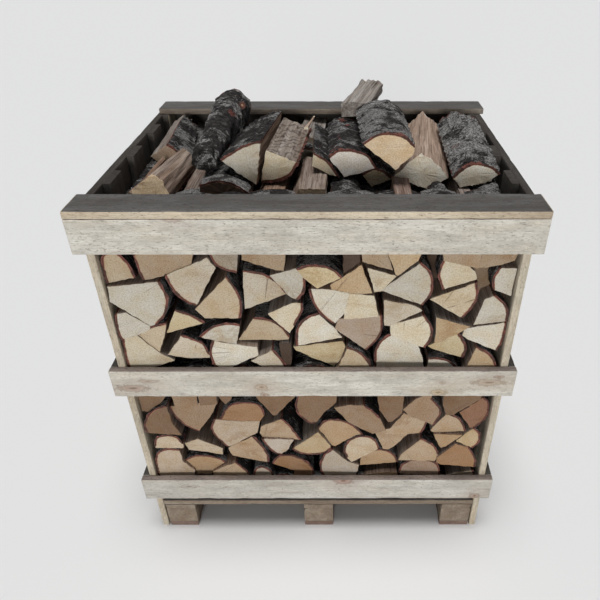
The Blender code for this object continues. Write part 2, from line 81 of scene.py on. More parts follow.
floor_mesh = bpy.data.meshes.new("studio_floor")
REACH = 60
corners = [(-REACH, -REACH, 0), (REACH, -REACH, 0), (REACH, REACH, 0), (-REACH, REACH, 0)]
floor_mesh.from_pydata(corners, [], [(0, 1, 2, 3)])
studio_floor = bpy.data.objects.new("studio_floor", floor_mesh)
bpy.context.scene.collection.objects.link(studio_floor)
floor_paint = bpy.data.materials.new("pale_floor")
floor_paint.use_nodes = True
paint = floor_paint.node_tree.nodes["Principled BSDF"].inputs
paint["Base Color"].default_value = (0.83, 0.83, 0.83, 1)
paint["Roughness"].default_value = 0.95
paint["Specular IOR Level"].default_value = 0.0
floor_mesh.materials.append(floor_paint)


# The pallet: three rows of pine blocks on long skids, with stringers and five deck boards over them.
# All of it is rough sawn softwood, nailed, with its edges rounded by handling.
SAWN_EDGE = 0.0022
SAWN_STEP = 0.024
SECTION_STEP = 0.014
SLOW_WAVE = 0.00016
NICK_DEPTH = 0.007
NICK_FROM = 0.55
GRAIN_SHIFT = 1.7
SHARP_ANGLE = 38.0
FIELD_WAVES = 26


def field(points, seed, longest):
    """A smooth random value for each point, about -1 to 1: the sum of plane waves, each of random
    direction and phase, its length between the longest and an eighth of it, and its height in
    proportion to its length."""
    chance = np.random.default_rng(seed)
    direction = chance.normal(size=(FIELD_WAVES, 3))
    direction /= np.linalg.norm(direction, axis=1, keepdims=True)
    length = longest * 0.5 ** chance.uniform(0.0, 3.0, FIELD_WAVES)
    phase = chance.uniform(0.0, 2 * np.pi, FIELD_WAVES)
    height = length / np.sqrt((length**2).sum())
    return np.sin(points @ (direction / length[:, None]).T * 2 * np.pi + phase) @ height


def closed_skin(name, rings, first_pole, last_pole, kinds, materials, marks):
    """A closed skin: rings of points joined side by side with four-sided faces, and each end drawn to
    its pole with triangles. kinds gives the material of each band of faces between two rings, marks
    the values kept on the points, in the order rings, first pole, last pole."""
    count, around = rings.shape[:2]
    points = np.vstack([rings.reshape(-1, 3), first_pole, last_pole])
    row = np.arange(count - 1)[:, None] * around
    here = np.arange(around)[None, :]
    after = (here + 1) % around
    quads = np.stack([row + here, row + around + here, row + around + after, row + after], axis=-1)
    here, after = here[0], after[0]
    pole = count * around
    final = (count - 1) * around
    near = np.stack([np.full(around, pole), here, after], axis=-1)
    far = np.stack([final + here, np.full(around, pole + 1), final + after], axis=-1)
    corners = np.concatenate([quads.ravel(), near.ravel(), far.ravel()]).astype(np.int32)
    sizes = np.concatenate([np.full(quads.size // 4, 4), np.full(2 * around, 3)])
    starts = np.concatenate([[0], np.cumsum(sizes)[:-1]]).astype(np.int32)
    mesh = bpy.data.meshes.new(name)
    mesh.vertices.add(len(points))
    mesh.vertices.foreach_set("co", points.astype(np.float32).ravel())
    mesh.loops.add(len(corners))
    mesh.loops.foreach_set("vertex_index", corners)
    mesh.polygons.add(len(starts))
    mesh.polygons.foreach_set("loop_start", starts)
    kinds = np.asarray(kinds)
    kind = np.concatenate([kinds.ravel(), kinds[0], kinds[-1]]).astype(np.int32)
    mesh.update(calc_edges=True)
    for material in materials:
        mesh.materials.append(material)
    mesh.polygons.foreach_set("material_index", kind)
    mesh.polygons.foreach_set("use_smooth", np.ones(len(starts), bool))
    mesh.set_sharp_from_angle(angle=math.radians(SHARP_ANGLE))
    for mark, values in marks.items():
        values = np.asarray(values, np.float32)
        form = "FLOAT_VECTOR" if values.ndim == 2 else "FLOAT"
        kept = mesh.attributes.new(mark, form, "POINT")
        kept.data.foreach_set("vector" if values.ndim == 2 else "value", values.ravel())
    mesh.validate()
    piece = bpy.data.objects.new(name, mesh)
    bpy.context.scene.collection.objects.link(piece)
    return piece


def rounded_section(width, height, radius, step):
    """A rectangle about the origin, anticlockwise from its lower right corner, with quarter circle
    corners of three points and points at most one step apart along its sides."""
    corner_x = np.array([1, 1, -1, -1]) * (width / 2 - radius)
    corner_z = np.array([-1, 1, 1, -1]) * (height / 2 - radius)
    section = []
    for i in range(4):
        angle = np.radians(-90 + 90 * i + np.array([0, 45, 90]))
        middle = np.array([corner_x[i], corner_z[i]])
        arc = middle + radius * np.stack([np.cos(angle), np.sin(angle)], axis=-1)
        straight = (height, width)[i % 2] - 2 * radius
        pieces = max(2, int(round(straight / step)))
        following = (i + 1) % 4
        start = arc[-1]
        angle = math.radians(90 * i)
        stop = np.array([corner_x[following], corner_z[following]])
        stop = stop + radius * np.array([math.cos(angle), math.sin(angle)])
        share = np.linspace(0, 1, pieces + 1)[1:-1, None]
        section += [arc, start + (stop - start) * share]
    return np.vstack(section)


def board_heart(seed):
    """Where the tree's middle lay from the middle of the board's section: three to nine centimetres
    off, along both of its sides."""
    chance = np.random.default_rng(seed)
    return chance.uniform(0.03, 0.09) * np.array([chance.choice([-1, 1]), chance.choice([-1, 1])])


def sawn_board(node, materials, seed, wear=0.5, shaded_sides=()):
    """A sawn board in the place of a CAD board: its rounded section carried along its length, with
    slow waves of a few tenths of a millimetre, nicks out of its edges, and both ends closed. Its upper
    faces take its second material, grey with weather and darker still as painted shade, and so do
    its faces toward the shaded sides, each an axis and a sign, which are dark as painted shade."""
    low, high = (np.array(corner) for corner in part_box(node))
    size = high - low
    long = int(np.argmax(size))
    wide, deep = (long - 1) % 3, (long + 1) % 3
    section = rounded_section(size[wide], size[deep], SAWN_EDGE, SECTION_STEP)
    cuts = max(6, int(size[long] / SAWN_STEP))
    inset = np.array([1.0, 0.995, 0.90, 0.45])[:, None, None]
    flat_end = section[None] * inset
    ends = SAWN_EDGE * np.array([0.45, 0.0, 0.0, 0.0])
    body = np.linspace(SAWN_EDGE, size[long] - SAWN_EDGE, cuts)
    profile = np.concatenate([flat_end[::-1], np.repeat(section[None], cuts, axis=0), flat_end])
    profile[[3, -4]] *= 1 - 0.6 * SAWN_EDGE / size[[wide, deep]]
    place = np.concatenate([ends[::-1], body, size[long] - ends])
    depth = np.broadcast_to(place[:, None, None], profile.shape[:2] + (1,))
    flat = np.concatenate([profile, depth], axis=2).reshape(-1, 3)
    stretched = flat * np.array([1.0, 1.0, 0.18]) + seed
    slow = SLOW_WAVE + SLOW_WAVE * field(stretched, seed, 0.05)
    toward_corner = np.abs(flat[:, 0] / size[wide] * 2) ** 6 * np.abs(flat[:, 1] / size[deep] * 2) ** 6
    nick = np.clip(field(flat + seed, seed + 1, 0.05) - NICK_FROM, 0, 1)
    nick = nick * NICK_DEPTH * wear * toward_corner
    reach = np.maximum(np.linalg.norm(flat[:, :2], axis=1, keepdims=True), 1e-4)
    flat = np.hstack([flat[:, :2] * (1 - (slow + nick)[:, None] / reach), flat[:, 2:]])
    middle = (low + high) / 2
    points = np.empty_like(flat)
    points[:, wide] = middle[wide] + flat[:, 0]
    points[:, deep] = middle[deep] + flat[:, 1]
    points[:, long] = low[long] + flat[:, 2]
    poles = np.tile(middle, (2, 1))
    poles[:, long] = (low[long], high[long])
    heart = board_heart(seed)
    grain = np.empty((len(flat) + 2, 3))
    grain[:-2, 0] = flat[:, 2] + seed * GRAIN_SHIFT
    grain[:-2, 1:] = flat[:, :2] + heart
    grain[-2:, 0] = np.array([0, size[long]]) + seed * GRAIN_SHIFT
    grain[-2:, 1:] = heart
    rings = points.reshape(profile.shape[:2] + (3,))
    # The second material goes on the upper faces, weathered and painted shade, and on the faces toward the
    # shaded sides, painted shade.
    upward = np.zeros(len(section), bool)
    if long != 2:
        height = section[:, 0 if wide == 2 else 1]
        upward = height > size[2] / 2 - 0.35 * SAWN_EDGE
    greyed = upward & np.roll(upward, -1)
    for axis, sign in shaded_sides:
        outward = section[:, 0 if wide == axis else 1] * sign > size[axis] / 2 - 1.05 * SAWN_EDGE
        greyed |= outward & np.roll(outward, -1)
    kinds = np.tile(greyed, (len(rings) - 1, 1)).astype(int)
    kinds[:3] = 0
    kinds[-3:] = long == 2
    marks = {"board_grain": grain}
    piece = closed_skin(f"sawn_{node}", rings, poles[0], poles[1], kinds, materials, marks)
    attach(piece, "root")
    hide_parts(node)


def node_in(tree, kind, *wired, **settings):
    """A shader node, its settings made and its inputs given in order: a value, another node's output,
    or None for one left as it is. Returns the node's first output."""
    made = tree.nodes.new(kind)
    for setting, value in settings.items():
        setattr(made, setting, value)
    for socket, value in zip(made.inputs, wired):
        if isinstance(value, bpy.types.NodeSocket):
            tree.links.new(value, socket)
        elif value is not None:
            socket.default_value = value
    return made.outputs[0]


def stretch(tree, vector, factors):
    return node_in(tree, "ShaderNodeVectorMath", vector, factors, operation="MULTIPLY")


def cloud(tree, vector, scale, detail=3.0, rough=0.55):
    return node_in(tree, "ShaderNodeTexNoise", vector, None, scale, detail, rough)


def reckon(tree, operation, *values):
    return node_in(tree, "ShaderNodeMath", *values, operation=operation)


def times(tree, *values):
    return reckon(tree, "MULTIPLY", *values)


def plus(tree, *values):
    return reckon(tree, "ADD", *values)


def steps(tree, value, stops):
    """A colour ramp through the given places and colours."""
    ramp = tree.nodes.new("ShaderNodeValToRGB")
    while len(ramp.color_ramp.elements) < len(stops):
        ramp.color_ramp.elements.new(0.5)
    for element, (place, colour) in zip(ramp.color_ramp.elements, stops):
        element.position = place
        element.color = (*colour, 1) if isinstance(colour, tuple) else (colour, colour, colour, 1)
    tree.links.new(value, ramp.inputs[0])
    return ramp.outputs[0]


def blended(tree, share, first, second, how="MIX"):
    """Two colours mixed by a share, or one laid over the other in the given way."""
    mix = tree.nodes.new("ShaderNodeMix")
    mix.data_type = "RGBA"
    mix.blend_type = how
    for socket, value in zip((mix.inputs[0], mix.inputs[6], mix.inputs[7]), (share, first, second)):
        if isinstance(value, bpy.types.NodeSocket):
            tree.links.new(value, socket)
        else:
            socket.default_value = (*value, 1) if isinstance(value, tuple) else value
    return mix.outputs[2]


def toned(tree, colour, guide, stops, other, how="MIX"):
    """A colour turned into another one, or laid over by it, as far as the stops on a guide say."""
    return blended(tree, steps(tree, guide, stops), colour, other, how)


def shader_group(name, inputs, outputs):
    """An empty node group with the named inputs and outputs, each given with its socket type."""
    group = bpy.data.node_groups.new(name, "ShaderNodeTree")
    for label, kind in inputs:
        group.interface.new_socket(name=label, in_out="INPUT", socket_type=kind)
    for label, kind in outputs:
        group.interface.new_socket(name=label, in_out="OUTPUT", socket_type=kind)
    return group, group.nodes.new("NodeGroupInput"), group.nodes.new("NodeGroupOutput")


def use_group(tree, group, *wired):
    made = tree.nodes.new("ShaderNodeGroup")
    made.node_tree = group
    for socket, value in zip(made.inputs, wired):
        if isinstance(value, bpy.types.NodeSocket):
            tree.links.new(value, socket)
        else:
            socket.default_value = value
    return made.outputs


def mark_of(tree, name, output="Vector"):
    """A value kept on the mesh's points."""
    made = tree.nodes.new("ShaderNodeAttribute")
    made.attribute_name = name
    return made.outputs[output]


def finish_material(name):
    material = bpy.data.materials.new(name)
    material.use_nodes = True
    return material, material.node_tree, material.node_tree.nodes["Principled BSDF"]


FLOAT, VECTOR, COLOUR = "NodeSocketFloat", "NodeSocketVector", "NodeSocketColor"

# Grain runs lengthwise in the first of the three numbers kept on the points, so noise squeezed that
# way makes fibres, and specks drawn the same way make the short dark dashes of weathered wood.
fibres, given, result = shader_group(
    "wood_fibres",
    [("Place", VECTOR), ("Fineness", FLOAT)],
    [("Fibre", FLOAT), ("Dash", FLOAT), ("Blotch", FLOAT)])
fine = node_in(fibres, "ShaderNodeVectorMath", given.outputs[0], None, None, given.outputs[1],
               operation="SCALE")
fibre = cloud(fibres, stretch(fibres, fine, (0.02, 1.0, 1.0)), 1.0, 4.0, 0.6)
dash = cloud(fibres, stretch(fibres, fine, (0.16, 1.1, 1.1)), 0.9, 2.0, 0.5)
blotch = cloud(fibres, stretch(fibres, given.outputs[0], (5.0, 20.0, 20.0)), 1.0, 4.0, 0.6)
for value, socket in zip((fibre, dash, blotch), result.inputs):
    fibres.links.new(value, socket)

# Growth rings lie around the log's heart, the line where the second and third numbers are nothing.
# Each is a soft pale band that ends in a thin darker line, and all of them wander a little.
growth, given, result = shader_group(
    "growth_rings",
    [("Place", VECTOR), ("Spacing", FLOAT), ("Wander", FLOAT)],
    [("Ring", FLOAT), ("Radius", FLOAT)])
crosswise = stretch(growth, given.outputs[0], (0.0, 1.0, 1.0))
length = growth.nodes.new("ShaderNodeVectorMath")
length.operation = "LENGTH"
growth.links.new(crosswise, length.inputs[0])
wobble = cloud(growth, stretch(growth, given.outputs[0], (1.6, 16.0, 16.0)), 1.0, 3.0, 0.5)
wobble = times(growth, reckon(growth, "SUBTRACT", wobble, 0.5), given.outputs[2])
radius = plus(growth, length.outputs["Value"], wobble)
turn = reckon(growth, "FRACT", reckon(growth, "DIVIDE", radius, given.outputs[1]))
band = steps(growth, turn, [(0.0, 0.0), (0.55, 0.25), (0.86, 1.0), (1.0, 0.0)])
growth.links.new(band, result.inputs[0])
growth.links.new(radius, result.inputs[1])

# A knot is a place where a branch left the trunk: a hard darker disc with its own rings, and round it
# a swirl that pushes the grain of the board aside.
knot, given, result = shader_group(
    "branch_knot",
    [("Place", VECTOR), ("Middle", VECTOR), ("Size", FLOAT), ("Length", FLOAT)],
    [("Disc", FLOAT), ("Swirl", FLOAT), ("Edge", FLOAT), ("Rings", FLOAT)])
away = node_in(knot, "ShaderNodeVectorMath", given.outputs[0], given.outputs[1], operation="SUBTRACT")
apart = node_in(knot, "ShaderNodeSeparateXYZ", away).node.outputs
lengthwise = reckon(knot, "DIVIDE", apart[0], given.outputs[3])
squares = plus(knot, times(knot, lengthwise, lengthwise), times(knot, apart[1], apart[1]))
uneven = reckon(knot, "MULTIPLY_ADD", cloud(knot, given.outputs[0], 80.0, 5.0, 0.75), 2.1, -0.05)
reach = times(knot, reckon(knot, "SQRT", squares), uneven)
share = times(knot, reckon(knot, "DIVIDE", reach, given.outputs[2]), 0.25)
knot.links.new(steps(knot, share, [(0.0, 1.0), (0.14, 0.9), (0.27, 0.0)]), result.inputs[0])
knot.links.new(steps(knot, share, [(0.0, 1.0), (0.25, 0.9), (1.0, 0.0)]), result.inputs[1])
knot.links.new(steps(knot, share, [(0.15, 0.0), (0.23, 1.0), (0.31, 0.0)]), result.inputs[2])
knot.links.new(reckon(knot, "FRACT", times(knot, share, 14.0)), result.inputs[3])


def pine(name, pale, warm, dark, rough, weather, knots=()):
    """Sawn softwood: pale wood with faint rings and fibres, fine grit, dark dashes and grey weathering
    in blotches, and a knot of its own colour and darkness at each given middle, size and length."""
    material, tree, shader = finish_material(name)
    place = mark_of(tree, "board_grain")
    fibre, dash, blotch = use_group(tree, fibres, place, 560.0)
    ring = use_group(tree, growth, place, 0.0062, 0.020)[0]
    colour = blended(tree, steps(tree, blotch, [(0.36, 0.0), (0.66, 1.0)]), pale, warm)
    marks = [use_group(tree, knot, place, middle, size, long) for middle, size, long, _, _ in knots]
    for _, swirl, _, rings in marks:
        ring = blended(tree, swirl, ring, rings)
    shaded = tuple(0.45 * w + 0.55 * d for w, d in zip(warm, dark))
    bleached = tuple(min(1.28 * value, 0.9) for value in pale)
    colour = blended(tree, times(tree, ring, 0.20), colour, shaded)
    colour = toned(tree, colour, fibre, [(0.28, 0.42), (0.56, 0.0)], shaded)
    grit = cloud(tree, stretch(tree, place, (46.0, 280.0, 280.0)), 1.0, 6.0, 0.84)
    colour = toned(tree, colour, grit, [(0.36, 0.55), (0.50, 0.0)], shaded)
    colour = toned(tree, colour, grit, [(0.50, 0.0), (0.66, 0.4)], bleached)
    bloom = cloud(tree, stretch(tree, place, (2.2, 24.0, 24.0)), 1.0, 6.0, 0.7)
    colour = toned(tree, colour, bloom, [(0.32, 0.55), (0.46, 0.0)], shaded)
    colour = toned(tree, colour, bloom, [(0.50, 0.0), (0.68, 0.55)], bleached)
    spots = cloud(tree, stretch(tree, place, (85.0, 140.0, 140.0)), 1.0, 2.0, 0.6)
    colour = toned(tree, colour, spots, [(0.31, 0.9), (0.37, 0.0)], shaded)
    grime = cloud(tree, stretch(tree, place, (11.0, 30.0, 30.0)), 1.0, 7.0, 0.78)
    colour = toned(tree, colour, grime, [(0.48, 0.0), (0.74, weather)], dark)
    grime = cloud(tree, stretch(tree, place, (3.2, 11.0, 11.0)), 1.0, 6.0, 0.75)
    colour = toned(tree, colour, grime, [(0.44, 0.0), (0.66, 0.55)], shaded)
    specks = steps(tree, dash, [(0.30, 0.85), (0.375, 0.0)])
    colour = blended(tree, specks, colour, dark)
    for (disc, swirl, edge, rings), (_, _, _, wood, strength) in zip(marks, knots):
        stained = tuple(0.5 * w + 0.5 * p for w, p in zip(wood, warm))
        lines = times(tree, steps(tree, rings, [(0.45, 0.0), (0.8, 0.8), (1.0, 0.0)]), swirl)
        colour = blended(tree, times(tree, swirl, 0.40 * strength), colour, stained)
        colour = blended(tree, times(tree, lines, 0.8 * strength), colour, shaded)
        colour = blended(tree, times(tree, disc, 0.60 * strength), colour, wood)
        core = times(tree, steps(tree, disc, [(0.92, 0.0), (0.98, 0.75)]), strength)
        colour = blended(tree, core, colour, tuple(0.40 * value for value in wood))
        rim = tuple(0.45 * value for value in wood)
        colour = blended(tree, times(tree, edge, 0.5 * strength), colour, rim)
    tree.links.new(colour, shader.inputs["Base Color"])
    duller = steps(tree, fibre, [(0.2, min(rough + 0.12, 1.0)), (0.8, rough)])
    tree.links.new(duller, shader.inputs["Roughness"])
    shader.inputs["Specular IOR Level"].default_value = 0.25
    height = plus(tree, fibre, times(tree, specks, -0.8))
    height = plus(tree, height, times(tree, ring, 0.3))
    height = plus(tree, height, times(tree, grit, 0.5))
    tree.links.new(node_in(tree, "ShaderNodeBump", 0.6, 0.0011, None, height), shader.inputs["Normal"])
    return material


# The pallet's wood is darkened as painted shade for its place low under the crate.
pallet_pine = pine("pallet_pine", (0.30, 0.255, 0.20), (0.25, 0.185, 0.13), (0.085, 0.06, 0.045),
                   0.8, 0.6)
# Upper faces: grey with weather and darker still as painted shade.
grey_and_shaded_top = pine("weathered_and_shaded_upper_face", (0.158, 0.152, 0.146), (0.124, 0.115, 0.107),
                (0.042, 0.037, 0.034), 0.85, 0.45)
pallet_faces = [pallet_pine, grey_and_shaded_top]
skid_pine = pine("skid_pine", (0.27, 0.185, 0.15), (0.20, 0.13, 0.10), (0.05, 0.036, 0.03), 0.85, 0.75)
for number, side in enumerate(("left", "centre", "right")):
    sawn_board(f"{side}_skid", [skid_pine, grey_and_shaded_top], 11 + number, 2.0)
    sawn_board(f"{side}_stringer", pallet_faces, 21 + number, 1.2)
    for row, place in enumerate(("front", "middle", "rear")):
        sawn_board(f"{side}_{place}_block", pallet_faces, 31 + 3 * number + row, 1.2)
for number, place in enumerate(("front", "front_mid", "middle", "rear_mid", "rear")):
    sawn_board(f"{place}_deck_board", pallet_faces, 51 + number)


# The slats: five upright boards on each side, from the floor to under the cap, with the rails nailed
# over them. Their faces toward the inside and into the gaps between them are near black: painted shade.
slat_pine = pine("slat_pine", (0.56, 0.51, 0.41), (0.52, 0.43, 0.30), (0.17, 0.14, 0.12), 0.8, 0.55)
# Near-black faces inside the crate and between boards: painted shade.
shaded_inner_face = pine("painted_shade_inner_face", (0.085, 0.078, 0.070), (0.062, 0.053, 0.045),
                  (0.022, 0.019, 0.017), 0.88, 0.5)
for turn, side in enumerate(("left", "right")):
    for number, place in enumerate(("front_corner", "front", "middle", "rear", "rear_corner")):
        shaded_faces = [(0, 1 - 2 * turn)] if 0 < number < 4 else []
        shaded_faces += [(1, 1)] * (number < 4) + [(1, -1)] * (number > 0)
        sawn_board(f"{side}_{place}_slat", [slat_pine, shaded_inner_face], 61 + 5 * turn + number,
                   shaded_sides=shaded_faces)


# The rails: three rings of flat boards round the crate, front and rear ones over the ends of the side
# ones. Some front ones show knots, two of them cut through by a board's edge. A knot's line gives how
# far along and across the board it is, its size, its length to its width, its colour and its strength.
rail_tones = ((0.64, 0.62, 0.56), (0.58, 0.53, 0.44), (0.19, 0.17, 0.15), 0.78, 0.6)
low_tones = ((0.56, 0.545, 0.50), (0.51, 0.47, 0.40), (0.17, 0.15, 0.135), 0.78, 0.6)
rail_pine = pine("rail_pine", *rail_tones)
low_pine = pine("low_rail_pine", *low_tones)
# Grey upper and back faces of the front rails: weathering, and darker still as painted shade.
grey_and_shaded_rail_top = pine("weathered_and_shaded_rail_top", (0.32, 0.275, 0.25), (0.26, 0.21, 0.18), (0.075, 0.06, 0.055),
                0.85, 0.5)
RAIL_KNOTS = {
    "front_middle_rail": [
        (0.060, -0.016, 0.013, 3.6, (0.30, 0.18, 0.125), 0.9),
        (0.110, 0.012, 0.007, 4.0, (0.34, 0.24, 0.17), 0.7),
        (0.445, -0.012, 0.012, 1.6, (0.40, 0.27, 0.17), 0.9),
        (0.450, -0.044, 0.009, 1.4, (0.30, 0.18, 0.12), 0.9),
        (1.125, 0.006, 0.012, 4.0, (0.36, 0.25, 0.17), 0.9),
        (1.150, 0.028, 0.006, 3.0, (0.30, 0.19, 0.13), 0.8),
        (0.975, -0.034, 0.012, 2.2, (0.44, 0.31, 0.17), 0.9),
        (0.985, 0.004, 0.006, 1.6, (0.34, 0.24, 0.17), 0.7)],
    "front_bottom_rail": [
        (0.157, 0.016, 0.010, 3.2, (0.36, 0.32, 0.27), 0.9),
        (0.690, 0.046, 0.017, 1.7, (0.33, 0.175, 0.13), 1.0),
        (1.148, -0.036, 0.014, 1.2, (0.32, 0.205, 0.14), 1.0)],
    "front_top_rail": [
        (0.270, 0.052, 0.010, 2.2, (0.42, 0.27, 0.20), 0.7),
        (0.930, 0.058, 0.007, 1.8, (0.40, 0.33, 0.27), 0.6)],
}
for number, level in enumerate(("bottom", "middle", "top")):
    for turn, side in enumerate(("front", "rear", "left", "right")):
        seed = 81 + 4 * number + turn
        wood = rail_pine if number else low_pine
        if f"{side}_{level}_rail" in RAIL_KNOTS:
            heart = board_heart(seed)
            placed = [((along + seed * GRAIN_SHIFT, across + heart[0], 0.0), *rest)
                      for along, across, *rest in RAIL_KNOTS[f"{side}_{level}_rail"]]
            tones = rail_tones if number else low_tones
            wood = pine(f"{side}_{level}_rail_pine", *tones, knots=placed)
        # Upper and inward faces take the second material: painted shade, with weather grey on the front
        # rails.
        sawn_board(f"{side}_{level}_rail", [wood, shaded_inner_face if turn else grey_and_shaded_rail_top], seed,
                   shaded_sides=[((1, 1), (1, -1), (0, 1), (0, -1))[turn]])


# The stacked logs: birch split lengthwise into halves, quarters and wedges about thirty centimetres
# long, laid in three rows one behind another with their sawn ends to the front and the rear.
CRATE_SHIFT = -0.005
HALF_INSIDE = 0.5553
LOG_FLOOR = 0.1425
FRONT_SPAN = (-0.464, -0.158)
MIDDLE_SPAN = (-0.142, 0.148)
REAR_SPAN = (0.162, 0.464)
DEEP_START = 0.060
BARK_BUMP = 0.0016
SPLIT_RIDGE = 0.0013
CURLY_LOSS = 0.001
SAW_WAVE = 0.0006
BLUNT_EDGE = 0.0014
BARK_DEPTH = 0.0094
RING_WIDTH = 0.0056
# The ends of the low opening are darker and browner than the ones above the middle rails: painted
# shade under the rails, and partly the wood's own browner colour.
BROWN_SHADE_BELOW = 0.64
BROWN_SHADE = (0.88, 0.81, 0.78)
# How large a log's end is, step by step from its middle to its edge, where it is seen and where not.
FINE_END = (0.30, 0.60, 0.82, 0.90, 0.945, 0.975, 0.992)
PLAIN_END = (0.5, 0.99)
# Bands of logs that nobody sees run from wall to wall, in centimetres, in the first nine colours.
MIDDLE_LEVELS = (14.3, 26.4, 42.6, 54.8, 71.4, 83.2, 99.6, 115.4)
BAND_SIDE = 55.1
PLAIN_COLOURS = 9
